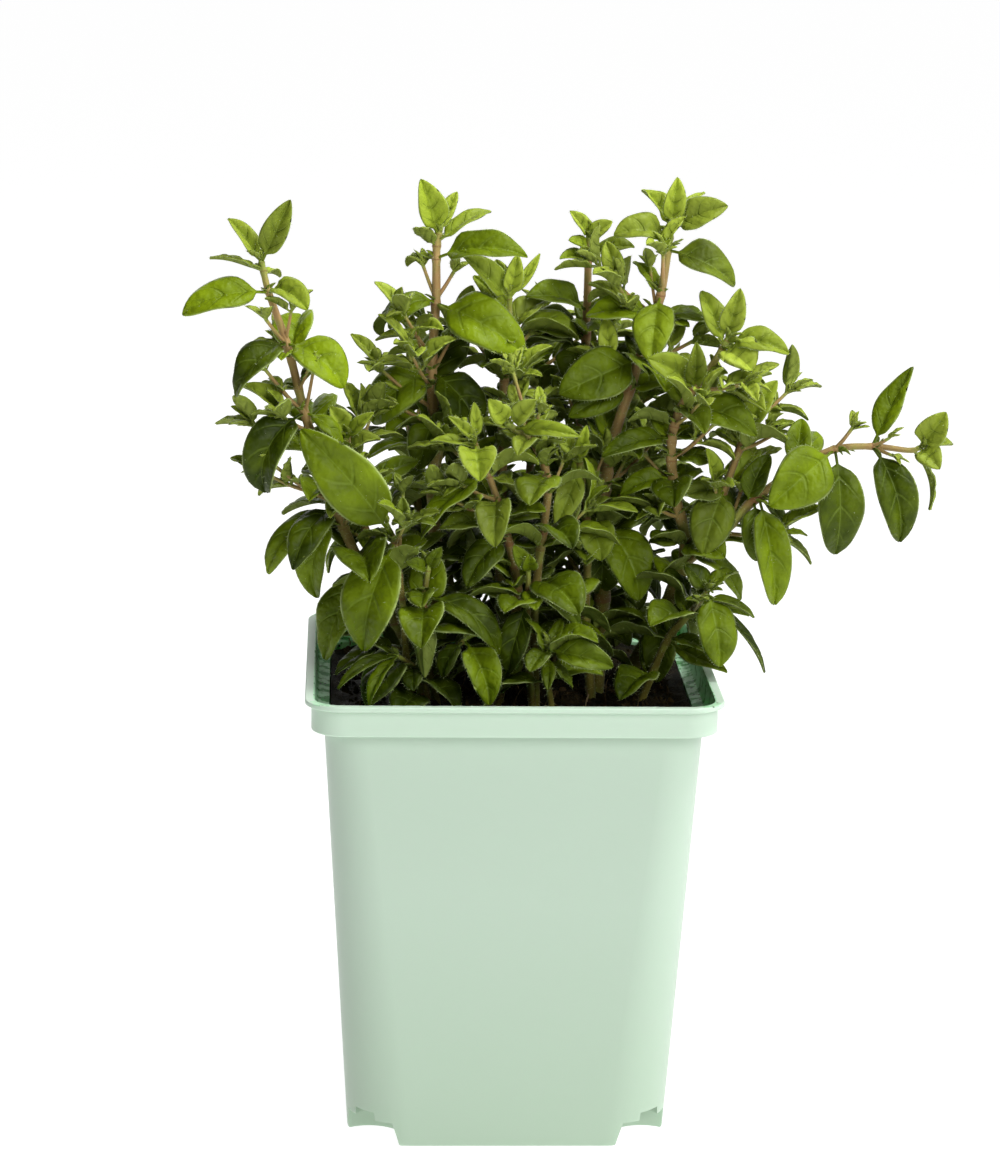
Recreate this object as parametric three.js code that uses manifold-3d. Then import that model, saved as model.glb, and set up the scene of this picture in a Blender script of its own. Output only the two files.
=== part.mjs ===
// A pot-grown oregano plant: a square moulded plastic pot, the compost block in it, and the
// leafy stems that stand in the compost. Millimetres, +Z up, the origin at the middle of the
// pot's underside, the pot's front face towards -Y.

import * as THREE from 'three';
import { mergeVertices } from 'three/addons/utils/BufferGeometryUtils.js';
import Module from 'manifold-3d';

const wasm = await Module();
wasm.setup();

// ---- Pot: half widths are measured to the flat sides, corners are the radii between them ----
const POT_HEIGHT = 127.2;
const FOOT_HALF = 43.8;
const FOOT_CORNER = 17.5;
const SHOULDER_HALF = 50.7;
const SHOULDER_CORNER = 11;
const BAND_HALF = 54.1;
const BAND_CORNER = 9;
const BAND_HEIGHT = 8.9;
const BAND_STEP = 0.6;
const LIP_HALF = 55.8;
const LIP_CORNER = 10;
const LIP_THICKNESS = 1.2;
const LIP_FLARE = 0.8;
const LIP_WIDTH = 2.6;
const WALL = 1.3;
const FLOOR = 1.5;
const FOOT_ROUND = 0.8;
const POCKET_INSET = 6;
const POCKET_TOP = 6.7;
const POCKET_RADII = [10.3, 8.5];
const DRAIN_RADIUS = 4;
const CORNER_STEPS = 3;
const POCKET_SIDES = 12;
const DRAIN_SIDES = 8;
const OVERRUN = 1; // how far a cutting shape runs on past what it cuts

// ---- Compost ----
const SOIL_LEVEL = 117.1;
const SOIL_RELIEF = 0.8;
const SOIL_CELLS = 9;
const GAP = 0.3; // between pieces that touch

// ---- Stems ----
const STEM_FOOT = 14;
const STEM_SIDES = 4;
const HOLE_SIDES = 6;
const SHOOT_SIDES = 3;
const SHOOT_RADII = [0.7, 0.5];
const SHOOT_TRIES = [1, 0.8, 0.6];
const SHOOT_LIFT = 0.08;
const END_LENGTH = 1.4;

// ---- Leaves ----
const STALK = 0.16; // share of a leaf's length
const STALK_HALF_WIDTH = 0.75;
const WIDEST = 0.4;
const BASE_POWER = 0.58;
const TIP_POWER = 0.8;
const RIB_THICKNESS = 1;
const SMALL_RIB_THICKNESS = 0.8;
const NARROWEST = 0.1;
const LARGE_LEAF = 22;
const SMALL_LEAF = 13;
const SMALLEST_LEAF = 5.8;
const LARGE_STATIONS = [STALK, 0.29, 0.54, 0.82];
const MIDDLE_STATIONS = [STALK, 0.42, 0.78];
const SMALL_STATIONS = [0.2, 0.55];

// ---- Room ----
const CLEARANCE = 0.3;
const ABOVE_RIM = 1.2;
const ABOVE_SOIL = 2;
const FROM_WALL = 1.5;
const LAMINA_STARTS = [0.1, 3]; // the sooner of a share of the length and millimetres

// ---- Growth by rule: angles in degrees from a stem's axis, and how far draws move them ----
const PAIR_SPREAD = 68;
const PAIR_ARCH = 45;
const TIP_ARCH = 15;
const TIP_PAIRS = [{ spread: 40, share: 1, turn: 0, t: 0.96 }, { spread: 22, share: 0.62, turn: 90, t: 1 }];
const SHOOT_SPREAD = 45;
const SHOOT_LENGTHS = [8, 13];
const SHOOT_LEAVES = [7.5, 9.5];
const SHOOT_PAIR = { from: 13, t: 0.55, spread: 60, arch: 30 };
const SPREAD_PLAY = 8;
const TURN_PLAY = 12;
const SHOOT_PLAY = 15;
const LENGTH_PLAY = [0.88, 1.1];
const WIDTH_SHARES = [0.48, 0.58];
const ARCH_PLAY = [0.6, 1.3];
const LEAN_PLAY = 0.25;
const RULE_FOLDS = [0.1, 0.4];
const LISTED_FOLDS = [0.1, 0.35];

const UP = new THREE.Vector3(0, 0, 1);
const radians = THREE.MathUtils.degToRad;

// ---- Solids ----
// A solid is { points, faces, edges }: corner points, triangles that face out, and each edge once.

function solid(points, faces) {
  const sides = faces.flatMap(([p, q, r]) => [[p, q], [q, r], [r, p]]);
  return {
    points,
    faces,
    edges: sides.filter(([from, to]) => from < to),
    box: new THREE.Box3().setFromPoints(points),
  };
}

function manifold({ points, faces }) {
  const vertProperties = new Float32Array(points.flatMap((point) => point.toArray()));
  const triVerts = new Uint32Array(faces.flat());
  return new wasm.Manifold(new wasm.Mesh({ numProp: 3, vertProperties, triVerts }));
}

function namedMesh(name, shape, colour, roughness) {
  const { vertProperties, triVerts } = shape.getMesh();
  const geometry = new THREE.BufferGeometry();
  geometry.setAttribute('position', new THREE.BufferAttribute(vertProperties, 3));
  geometry.setIndex(new THREE.BufferAttribute(triVerts, 1));
  const material = new THREE.MeshStandardMaterial({ color: colour, roughness, metalness: 0 });
  const mesh = new THREE.Mesh(geometry, material);
  mesh.name = name;
  return mesh;
}

// Rings with the same number of points, stacked from the bottom up and closed at both ends.
function loft(rings) {
  const count = rings[0].length;
  const faces = [];
  for (let level = 0; level < rings.length - 1; level++) {
    for (let i = 0; i < count; i++) {
      const a = level * count + i;
      const b = level * count + (i + 1) % count;
      faces.push([a, b, b + count], [a, b + count, a + count]);
    }
  }
  const top = (rings.length - 1) * count;
  for (let i = 1; i < count - 1; i++) {
    faces.push([0, i + 1, i], [top, top + i, top + i + 1]);
  }
  return solid(rings.flat(), faces);
}

// ---- Pot ----

function squareRing(half, corner, z) {
  const ring = [];
  const centre = half - corner;
  for (const [sx, sy, start] of [[1, -1, -90], [1, 1, 0], [-1, 1, 90], [-1, -1, 180]]) {
    for (let step = 0; step <= CORNER_STEPS; step++) {
      const angle = radians(start + 90 * step / CORNER_STEPS);
      const x = sx * centre + corner * Math.cos(angle);
      const y = sy * centre + corner * Math.sin(angle);
      ring.push(new THREE.Vector3(x, y, z));
    }
  }
  return ring;
}

function roundRing(x, y, radius, z, sides) {
  return Array.from({ length: sides }, (_, i) => {
    const angle = 2 * Math.PI * i / sides;
    return new THREE.Vector3(x + radius * Math.cos(angle), y + radius * Math.sin(angle), z);
  });
}

const SHOULDER_Z = POT_HEIGHT - BAND_HEIGHT;

// A ring of the tapering body at a height, drawn in by the given inset.
function bodyRing(z, inset, ringZ = z) {
  const share = z / SHOULDER_Z;
  const half = FOOT_HALF + (SHOULDER_HALF - FOOT_HALF) * share;
  const corner = FOOT_CORNER + (SHOULDER_CORNER - FOOT_CORNER) * share;
  return squareRing(half - inset, corner - inset, ringZ);
}

const outerBody = loft([
  bodyRing(0, FOOT_ROUND),
  bodyRing(FOOT_ROUND, 0),
  bodyRing(SHOULDER_Z, 0),
  squareRing(BAND_HALF, BAND_CORNER, SHOULDER_Z + BAND_STEP),
  squareRing(BAND_HALF, BAND_CORNER, POT_HEIGHT - LIP_THICKNESS - LIP_FLARE),
  squareRing(LIP_HALF, LIP_CORNER, POT_HEIGHT - LIP_THICKNESS),
  squareRing(LIP_HALF, LIP_CORNER, POT_HEIGHT),
]);

// The hollow, drawn in by the given gap for the compost that fills it.
function hollow(gap) {
  const inset = WALL + gap;
  const mouth = [LIP_HALF - LIP_WIDTH - gap, BAND_CORNER - inset];
  return loft([
    bodyRing(FLOOR, inset, FLOOR + gap),
    bodyRing(SHOULDER_Z, inset, SHOULDER_Z + WALL),
    squareRing(BAND_HALF - inset, BAND_CORNER - inset, SHOULDER_Z + WALL + BAND_STEP),
    squareRing(...mouth, POT_HEIGHT - LIP_THICKNESS),
    squareRing(...mouth, POT_HEIGHT + OVERRUN),
  ]);
}

const pocketCentre = FOOT_HALF - POCKET_INSET;
const pocketCentres = [[1, 1], [-1, 1], [-1, -1], [1, -1]]
  .map(([sx, sy]) => [sx * pocketCentre, sy * pocketCentre]);

// A raised round pocket under a corner, with its walls thickened by the given amount.
function pocket([x, y], thicken) {
  const [low, high] = POCKET_RADII;
  return manifold(loft([
    roundRing(x, y, low + thicken, -OVERRUN, POCKET_SIDES),
    roundRing(x, y, high + thicken, POCKET_TOP + thicken, POCKET_SIDES),
  ]));
}

function drain([x, y]) {
  const span = [POCKET_TOP - OVERRUN, POCKET_TOP + WALL + OVERRUN];
  return manifold(loft(span.map((z) => roundRing(x, y, DRAIN_RADIUS, z, DRAIN_SIDES))));
}

function makePot() {
  const outer = manifold(outerBody);
  let pot = outer.subtract(manifold(hollow(0)));
  for (const centre of pocketCentres) {
    pot = pot.add(pocket(centre, WALL).intersect(outer));
  }
  for (const centre of pocketCentres) {
    pot = pot.subtract(pocket(centre, 0)).subtract(drain(centre));
  }
  return pot;
}

// ---- Seeded draws ----

function seededDraw(seed) {
  let state = seed;
  const draw = (low, high) => {
    state = (state * 1664525 + 1013904223) % 4294967296;
    return low + (high - low) * state / 4294967296;
  };
  for (let i = 0; i < 3; i++) draw(0, 1);
  return draw;
}

// ---- Compost: the filling of the pot, crumbly on top, with a plain hole for each stem ----

function crumblyBlock() {
  const draw = seededDraw(7);
  const depth = SOIL_LEVEL - FLOOR;
  const side = 2 * LIP_HALF;
  const box = new THREE.BoxGeometry(side, side, depth, SOIL_CELLS, SOIL_CELLS, 1);
  box.translate(0, 0, FLOOR + depth / 2);
  box.deleteAttribute('normal');
  box.deleteAttribute('uv');
  const { attributes, index } = mergeVertices(box);
  const { position } = attributes;
  for (let i = 0; i < position.count; i++) {
    if (position.getZ(i) > FLOOR + depth / 2) {
      position.setZ(i, SOIL_LEVEL + draw(-SOIL_RELIEF, SOIL_RELIEF));
    }
  }
  const triVerts = new Uint32Array(index.array);
  return new wasm.Manifold(new wasm.Mesh({ numProp: 3, vertProperties: position.array, triVerts }));
}

function makeSoil(stems) {
  let soil = manifold(hollow(GAP)).intersect(crumblyBlock());
  for (const centre of pocketCentres) {
    soil = soil.subtract(pocket(centre, WALL + GAP));
  }
  for (const stem of stems) {
    soil = soil.subtract(stemHole(stem));
  }
  return soil;
}

// ---- Leaves ----
// A leaf runs from its root on the stem's axis to its tip. azimuth and rise give the straight
// line between them in degrees, arch is how far its midrib turns over on the way, up is the way
// its upper face looks, and fold lifts its edges out of the midrib.

function heading(azimuth, rise) {
  const [a, e] = [radians(azimuth), radians(rise)];
  return new THREE.Vector3(Math.cos(a) * Math.cos(e), Math.sin(a) * Math.cos(e), Math.sin(e));
}

const headingAngles = (direction) => [
  THREE.MathUtils.radToDeg(Math.atan2(direction.y, direction.x)),
  THREE.MathUtils.radToDeg(Math.asin(THREE.MathUtils.clamp(direction.z, -1, 1))),
];

// Point, upper normal and side direction of a leaf's midrib, from 0 at the root to 1 at the tip.
function midrib(leaf, t) {
  const line = heading(leaf.azimuth, leaf.rise);
  const normal = leaf.up.clone().addScaledVector(line, -leaf.up.dot(line)).normalize();
  const side = new THREE.Vector3().crossVectors(normal, line);
  const turn = radians(leaf.arch);
  const angle = turn / 2 - turn * t;
  const reach = leaf.length / turn;
  const point = leaf.root.clone()
    .addScaledVector(line, reach * (Math.sin(turn / 2) - Math.sin(angle)))
    .addScaledVector(normal, reach * (Math.cos(angle) - Math.cos(turn / 2)));
  const up = normal.multiplyScalar(Math.cos(angle)).addScaledVector(line, -Math.sin(angle));
  return { point, up, side };
}

// Share of the blade's full width at t: an oval widest at WIDEST, rounded into its stalk.
function outline(t) {
  const q = (t - STALK) / (1 - STALK);
  if (q <= 0 || q >= 1) return 0;
  return (q / WIDEST) ** BASE_POWER * ((1 - q) / (1 - WIDEST)) ** TIP_POWER;
}

function stations(length) {
  if (length >= LARGE_LEAF) return LARGE_STATIONS;
  return length >= SMALL_LEAF ? MIDDLE_STATIONS : SMALL_STATIONS;
}

// A closed blade, thick at the midrib and sharp at its edges, from the given start of the stalk.
function blade(leaf, start = 0) {
  const rib = (leaf.length >= SMALL_LEAF ? RIB_THICKNESS : SMALL_RIB_THICKNESS) / 2;
  const points = [midrib(leaf, start).point];
  const steps = stations(leaf.length);
  for (const [i, t] of steps.entries()) {
    const { point, up, side } = midrib(leaf, t);
    const narrowest = i === 0 ? STALK_HALF_WIDTH : NARROWEST;
    const half = Math.max(leaf.width / 2 * outline(t), narrowest);
    const edge = point.clone().addScaledVector(up, half * leaf.fold);
    points.push(
      edge.clone().addScaledVector(side, half),
      point.clone().addScaledVector(up, rib),
      edge.clone().addScaledVector(side, -half),
      point.clone().addScaledVector(up, -rib),
    );
  }
  const tip = points.push(midrib(leaf, 1).point) - 1;
  const faces = [];
  for (let k = 0; k < 4; k++) {
    const next = (k + 1) % 4;
    faces.push([0, 1 + next, 1 + k], [tip - 4 + k, tip - 4 + next, tip]);
    for (let a = 1; a < tip - 4; a += 4) {
      faces.push([a + k, a + next, a + next + 4], [a + k, a + next + 4, a + k + 4]);
    }
  }
  return solid(points, faces);
}

// ---- Stems ----

// The level direction across an axis, or +X where the axis is nearly upright.
function levelAcross(axis, leastLean) {
  const across = new THREE.Vector3().crossVectors(UP, axis);
  return across.length() > leastLean ? across.normalize() : across.set(1, 0, 0);
}

const stemCurve = (path) => new THREE.CatmullRomCurve3(path, false, 'catmullrom', 0.5);

// A closed tapering tube round a curve, with a ring at each point of its path, running on past
// the last one. foot is the length that stands straight down below its start.
function tube(curve, [thick, thin], sides, foot = 0) {
  const [first, last] = [curve.getPoint(0), curve.getPoint(1)];
  const across = levelAcross(last.clone().sub(first).normalize(), 0.2);
  const ring = (centre, along, radius) => {
    const a = across.clone().addScaledVector(along, -across.dot(along)).normalize();
    const b = new THREE.Vector3().crossVectors(along, a);
    return Array.from({ length: sides }, (_, i) => {
      const angle = 2 * Math.PI * i / sides;
      return centre.clone()
        .addScaledVector(a, radius * Math.cos(angle))
        .addScaledVector(b, radius * Math.sin(angle));
    });
  };
  const rings = foot ? [ring(first.clone().addScaledVector(UP, -foot), UP, thick)] : [];
  const steps = curve.points.length - 1;
  for (let i = 0; i <= steps; i++) {
    const t = i / steps;
    const along = curve.getTangent(t);
    const centre = curve.getPoint(t).addScaledVector(along, i === steps ? END_LENGTH : 0);
    rings.push(ring(centre, along, thick + (thin - thick) * t));
  }
  const body = loft(rings);
  return solid(body.points, body.faces);
}

function stemHole({ curve, radii }) {
  const base = curve.getPoint(0);
  const span = [base.z - STEM_FOOT - GAP, POT_HEIGHT];
  return manifold(loft(span.map((z) => roundRing(base.x, base.y, radii[0] + 2 * GAP, z, HOLE_SIDES))));
}

// ---- Keeping clear ----

const ray = new THREE.Ray();
const hit = new THREE.Vector3();

// Whether an edge of solid a passes through a face of solid b.
function pierces(a, b) {
  return a.edges.some(([from, to]) => {
    ray.origin.copy(a.points[from]);
    ray.lookAt(a.points[to]);
    const reach = ray.origin.distanceTo(a.points[to]);
    return b.faces.some(([p, q, r]) => (
      ray.intersectTriangle(b.points[p], b.points[q], b.points[r], false, hit) !== null
      && hit.distanceTo(ray.origin) < reach
    ));
  });
}

const cross = (a, b) => pierces(a, b) || pierces(b, a);

// Whether a solid stays out of the pot's wall and the compost.
function clearOfPot({ points, faces, edges }) {
  const middle = (corners) => corners
    .reduce((sum, corner) => sum.add(points[corner]), new THREE.Vector3())
    .divideScalar(corners.length);
  const inside = SHOULDER_HALF - WALL - FROM_WALL;
  return [...points, ...faces.map(middle), ...edges.map(middle)].every((point) => (
    point.z > POT_HEIGHT + ABOVE_RIM
    || (point.z > SOIL_LEVEL + ABOVE_SOIL && Math.abs(point.x) < inside && Math.abs(point.y) < inside)
  ));
}

// The ways a leaf turns to find room: [azimuth, rise, size], smallest changes first.
const TURNS = [[0, 0, 1]];
for (const size of [1, 0.85, 0.7]) {
  for (const [azimuth, rise] of [
    [12, 0], [-12, 0], [0, 12], [0, -12], [24, 8], [-24, 8],
    [24, -12], [-24, -12], [0, 24], [0, -26], [40, 0], [-40, 0],
  ]) {
    TURNS.push([azimuth, rise, size]);
  }
}

// Everything that has grown so far: { plant, shape, lamina }, with no lamina on a tube. plant is
// the name of the standing stem that it belongs to.
const grown = [];

function hasRoom(plant, shape, lamina) {
  const reach = shape.box.clone().expandByScalar(CLEARANCE);
  return clearOfPot(lamina ?? shape) && !grown.some((other) => {
    if (!reach.intersectsBox(other.shape.box)) return false;
    if (other.plant !== plant) return cross(shape, other.shape);
    return Boolean(lamina && other.lamina) && cross(lamina, other.lamina);
  });
}

function addLeaf(plant, leaf) {
  const [share, bare] = LAMINA_STARTS;
  for (const [azimuth, rise, size] of TURNS) {
    const turned = {
      ...leaf,
      azimuth: leaf.azimuth + azimuth,
      rise: leaf.rise + rise,
      length: leaf.length * size,
      width: leaf.width * size,
    };
    const shape = blade(turned);
    const lamina = blade(turned, Math.min(share, bare / turned.length));
    if (hasRoom(plant, shape, lamina)) {
      grown.push({ plant, shape, lamina });
      return;
    }
  }
}

// ---- Growth ----

// A direction at spread degrees from a stem's axis, turned round it by turn degrees.
function axial(axis, spread, turn) {
  const across = levelAcross(axis, 0.05);
  const over = new THREE.Vector3().crossVectors(axis, across);
  return axis.clone().multiplyScalar(Math.cos(radians(spread)))
    .addScaledVector(across, Math.cos(radians(turn)) * Math.sin(radians(spread)))
    .addScaledVector(over, Math.sin(radians(turn)) * Math.sin(radians(spread)));
}

// A leaf by rule on a curve at t, with small seeded differences.
function ruleLeaf(curve, t, spread, turn, length, draw, arch) {
  const play = (most) => draw(-most, most);
  const axis = curve.getTangent(t);
  const direction = axial(axis, spread + play(SPREAD_PLAY), turn + play(TURN_PLAY));
  const [azimuth, rise] = headingAngles(direction);
  const leaf = { root: curve.getPoint(t), azimuth, rise };
  leaf.length = length * draw(...LENGTH_PLAY);
  leaf.width = length * draw(...WIDTH_SHARES);
  leaf.arch = arch * draw(...ARCH_PLAY);
  const lean = new THREE.Vector3(play(LEAN_PLAY), play(LEAN_PLAY), 0);
  leaf.up = UP.clone().addScaledVector(axis, 0.5).add(lean).normalize();
  leaf.fold = draw(...RULE_FOLDS);
  return leaf;
}

// The young growth on an end: an opening pair of leaves and, on a big one, a smaller pair
// across it.
function addTip(plant, curve, size, draw) {
  const start = draw(0, 180);
  for (const { spread, share, turn, t } of TIP_PAIRS) {
    const length = size * share;
    if (length < SMALLEST_LEAF) break;
    for (const side of [0, 180]) {
      addLeaf(plant, ruleLeaf(curve, t, spread, start + turn + side, length, draw, TIP_ARCH));
    }
  }
}

// A side shoot: shorter where there is no room, and left out where there is none at all.
function addShoot(plant, base, azimuth, rise, length, size, draw) {
  const direction = heading(azimuth, rise);
  for (const share of SHOOT_TRIES) {
    const reach = length * share;
    const curve = stemCurve([
      base,
      base.clone().addScaledVector(direction, reach * 0.5),
      base.clone().addScaledVector(direction, reach).addScaledVector(UP, SHOOT_LIFT * length),
    ]);
    const shape = tube(curve, SHOOT_RADII, SHOOT_SIDES);
    if (hasRoom(plant, shape, null)) {
      grown.push({ plant, shape, lamina: null });
      const { from, t, spread, arch } = SHOOT_PAIR;
      if (reach > from) {
        const turn = draw(0, 180);
        for (const side of [0, 180]) {
          addLeaf(plant, ruleLeaf(curve, t, spread, turn + side, size, draw, arch));
        }
      }
      addTip(plant, curve, size, draw);
      return;
    }
  }
}

// Leaf pairs by rule between two places on a stem, each pair across the last, with a side
// shoot at every sideEvery-th one.
function addPairs({ plant, curve, draw, pairs, sideEvery }) {
  const [from, to, count, turn, lowLength, highLength] = pairs;
  for (let i = 0; i < count; i++) {
    const share = i / (count - 1);
    const t = from + (to - from) * share;
    const length = lowLength + (highLength - lowLength) * share;
    for (const side of [0, 180]) {
      const across = turn + 90 * i + side;
      addLeaf(plant, ruleLeaf(curve, t, PAIR_SPREAD, across, length, draw, PAIR_ARCH));
    }
    if (sideEvery && i % sideEvery === sideEvery - 1) {
      const across = turn + 90 * i + draw(-SHOOT_PLAY, SHOOT_PLAY);
      const direction = axial(curve.getTangent(t), SHOOT_SPREAD, across);
      const [azimuth, rise] = headingAngles(direction);
      const [reach, size] = [draw(...SHOOT_LENGTHS), draw(...SHOOT_LEAVES)];
      addShoot(plant, curve.getPoint(t), azimuth, rise, reach, size, draw);
    }
  }
}

// ---- The stems ----
// path: the stem's course from the compost up, or from the stem that it branches from.
// leaves: [place on the stem 0-1, azimuth, rise, length, width, arch, face], in mm and degrees;
// azimuth 0 points to +X and 90 to +Y, and face tips the upper side towards the front.
// shoots: [place, azimuth, rise, length, leaf length].
// pairs: [from, to, how many, first turn, length at from, length at to], placed by rule.
// tip: leaf length of the young growth on the end, where leaves doesn't give it.
const STEMS = [
  { name: 'stem_left_spray', radii: [1.7, 0.8],
    path: [[-23, -9, 118], [-30, -14, 137.8], [-41, -18, 156.8], [-50, -20, 178.8], [-56, -20, 197.8],
           [-61, -19, 216.8], [-66, -17, 230.8], [-68, -16, 238.8]],
    leaves: [
      [1, 340, 65, 19, 8.5, 10, 60], [1, 160, 50, 15, 7, 10, 50], [0.96, 170, 15, 15, 6, 10, 0],
      [0.95, 60, -10, 9, 5, 10, 0], [0.86, 190, -10, 25, 12, 40, 35], [0.86, 325, -15, 15, 10, 95, 30],
      [0.72, 335, -30, 22, 15, 75, 25], [0.72, 210, -40, 24, 12, 110, 30],
      [0.58, 205, -60, 30, 13, 110, 25], [0.58, 345, -45, 17, 8, 90, 20],
      [0.39, 195, -40, 29, 10, 80, 25], [0.39, 230, -50, 25, 11, 85, 30],
      [0.38, 155, -75, 27, 10, 75, 20], [0.28, 195, -55, 28, 13, 50, 25],
    ],
    shoots: [
      [0.73, 305, 70, 8, 9], [0.72, 210, 45, 9, 8], [0.58, 200, 45, 16, 8], [0.58, 295, 65, 13, 8],
      [0.4, 200, 30, 21, 8],
    ],
  },
  { name: 'stem_left_inner', radii: [1.3, 0.7],
    path: [[-17, -4, 118], [-30, -8, 141.8], [-41, -12, 168.8], [-45, -14, 186.8], [-45, -14, 191.8]],
    leaves: [
      [0.95, 215, 60, 11, 8, 15, 50], [0.95, 325, 45, 12, 5, 30, 50], [0.77, 335, 25, 11, 8, 30, 40],
      [0.77, 150, 55, 14, 7, 20, 20], [0.59, 335, 30, 9, 9, 60, 40], [0.64, 160, 5, 15, 10, 40, 30],
      [0.48, 60, -80, 24, 9, 80, 10], [0.47, 150, -50, 19, 9, 60, 10],
    ],
  },
  { name: 'stem_left_arch', radii: [1.1, 0.8],
    path: [[-27, -16, 118], [-29, -22, 135.8], [-30, -26, 149.8], [-32, -28, 164.8], [-34, -27, 169.8]],
    leaves: [
      [0.82, 190, 50, 40, 17, 35, 85], [0.77, 225, -65, 33, 18, 60, 15],
    ],
    shoots: [
      [0.65, 75, 75, 18, 8],
    ],
  },
  { name: 'stem_front_left', radii: [1.2, 0.7],
    path: [[-20, -17, 118], [-24, -22, 136.8], [-24, -26, 149.8], [-23, -27, 158.8]],
    leaves: [
      [0.96, 215, 25, 8, 5, 20, 40], [0.96, 330, 60, 8, 4.5, 20, 60], [0.96, 100, 45, 7, 4, 20, 30],
      [0.72, 265, -5, 11, 9.5, 20, 0], [0.62, 280, -75, 20, 7, -40, -20],
      [0.67, 350, -35, 29, 10, 90, 30],
    ],
  },
  { name: 'stem_front_low', radii: [1, 0.6],
    path: [[-14, -21, 118], [-18, -24, 131.8], [-13, -28, 138.8]],
    leaves: [
      [0.99, 300, -45, 21, 11, 40, 10], [0.97, 200, -55, 12, 8, 50, 10],
      [0.91, 20, -20, 13, 7, 40, 10],
    ],
  },
  { name: 'stem_low_left', radii: [1, 0.6],
    path: [[-24, -23, 118], [-26, -22, 128.8], [-31, -26, 133.8]],
    leaves: [
      [1, 210, -20, 21, 5, 60, 20], [1, 230, -30, 18, 5, 60, 10], [0.18, 245, -10, 16, 12, 40, 20],
      [0.98, 160, 15, 14, 7, 40, 10],
    ],
  },
  { name: 'stem_tall_left', radii: [2, 0.9], pairs: [0.2, 0.42, 2, 20, 20, 17],
    path: [[-20, 3, 118], [-20, 2, 142.8], [-21, 4, 170.8], [-21, 5, 190.8], [-22, 5, 204.8],
           [-21, 5, 225.8], [-21, 4, 240.8], [-20, 4, 246.8]],
    leaves: [
      [0.91, 215, 70, 17, 10, 10, 50], [0.93, 40, 60, 13, 6, 5, 30], [0.86, 225, 35, 11, 6.5, 10, -30],
      [0.88, 20, 30, 18, 8, 15, 20], [0.82, 345, 5, 27, 11, 55, 45], [0.82, 135, -15, 12, 7, 40, 0],
      [0.71, 200, -25, 19, 8, 125, 40], [0.71, 340, -25, 30, 17, 55, 45],
      [0.67, 160, -15, 22, 11, 150, 30], [0.58, 200, -35, 24, 17, 70, 40],
      [0.58, 335, -45, 23, 14, 80, 30], [0.45, 245, -50, 17, 11, 60, 20],
      [0.45, 25, -55, 22, 13, 50, 20], [0.34, 165, -45, 21, 12, 60, 20],
      [0.29, 30, -55, 23, 12, 60, 10],
    ],
    shoots: [
      [0.72, 0, 55, 8, 7], [0.72, 160, 65, 9, 6], [0.58, 205, 65, 11, 11], [0.58, 340, 60, 12, 11],
      [0.44, 220, 20, 13, 9],
    ],
  },
  { name: 'stem_mid_left', radii: [1.5, 0.7], pairs: [0.15, 0.35, 2, 60, 18, 17],
    path: [[-3, -12, 118], [1, -16, 141.8], [1, -19, 153.8], [-3, -20, 170.8], [-7, -21, 182.8],
           [-11, -22, 191.8]],
    leaves: [
      [1, 205, 45, 11, 4, 15, 50], [1, 290, 80, 11, 5, 10, 60], [0.98, 275, -35, 13, 13, 25, 15],
      [0.97, 190, 10, 13, 6, 20, 30], [0.8, 195, -40, 26, 11, 45, 30], [0.79, 20, -40, 13, 8, 50, 20],
      [0.6, 195, -5, 18, 10, 25, 40], [0.59, 25, -5, 14, 9, 40, 10], [0.53, 215, -40, 19, 11, 60, 20],
      [0.51, 25, -40, 16, 9, 60, 10],
    ],
  },
  { name: 'stem_mid_front', radii: [1.4, 0.8],
    path: [[7, -14, 118], [6, -18, 141.8], [7, -20, 158.8], [9, -21, 178.8], [6, -21, 189.8],
           [-2, -21, 196.8]],
    leaves: [
      [0.99, 210, 50, 10, 7.5, 15, 60], [0.99, 330, 70, 11, 7.5, 15, 60],
      [0.96, 335, 0, 19, 6.5, 30, 60], [0.96, 150, 0, 13, 6, 30, 30], [0.69, 280, 45, 12, 6, 40, 30],
      [0.65, 250, -15, 16, 14, 35, 30],
    ],
    shoots: [
      [0.85, 300, 65, 9, 8], [0.64, 170, 70, 29, 9],
    ],
  },
  { name: 'stem_mid_back', radii: [1.7, 0.8], pairs: [0.2, 0.62, 3, 10, 21, 18],
    path: [[0, 8, 118], [-2, 10, 152.8], [-2, 9, 181.8], [-2, 7, 201.8], [-1, 6, 215.8],
           [-1, 5, 226.8]],
    leaves: [
      [0.99, 195, 45, 18, 10, 15, 50], [1, 305, 75, 13, 7, 10, 60], [1, 15, 55, 15, 4, 5, 60],
      [1, 125, 60, 12, 7, 10, 30], [0.87, 195, 45, 17, 8, 40, 50], [0.84, 25, 35, 14, 10, 40, 30],
      [0.63, 220, 65, 15, 6, 20, 60], [0.63, 340, 45, 12, 7, 20, 40], [0.48, 145, -55, 20, 12, 60, 10],
      [0.48, 15, -35, 22, 12, 50, 10], [0.35, 150, -25, 18, 12, 50, 10],
      [0.35, 30, -50, 25, 12, 50, 10],
    ],
    shoots: [
      [0.64, 280, 45, 12, 8],
    ],
  },
  { name: 'stem_front_small', radii: [1.1, 0.6],
    path: [[6, -20, 118], [4, -23, 137.8], [4, -25, 148.8], [4, -25, 157.8]],
    leaves: [
      [0.78, 280, -15, 10, 7, 15, 0], [0.97, 205, 60, 9, 5, 15, 50], [0.97, 280, 50, 8, 5, 15, 50],
      [0.81, 340, -35, 19, 8.5, 70, 30], [0.68, 215, -70, 22, 10, 50, 20],
    ],
  },
  { name: 'stem_front_low_right', radii: [1, 0.6],
    path: [[11, -28, 118], [9, -32, 131.8], [9, -33, 137.8]],
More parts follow.
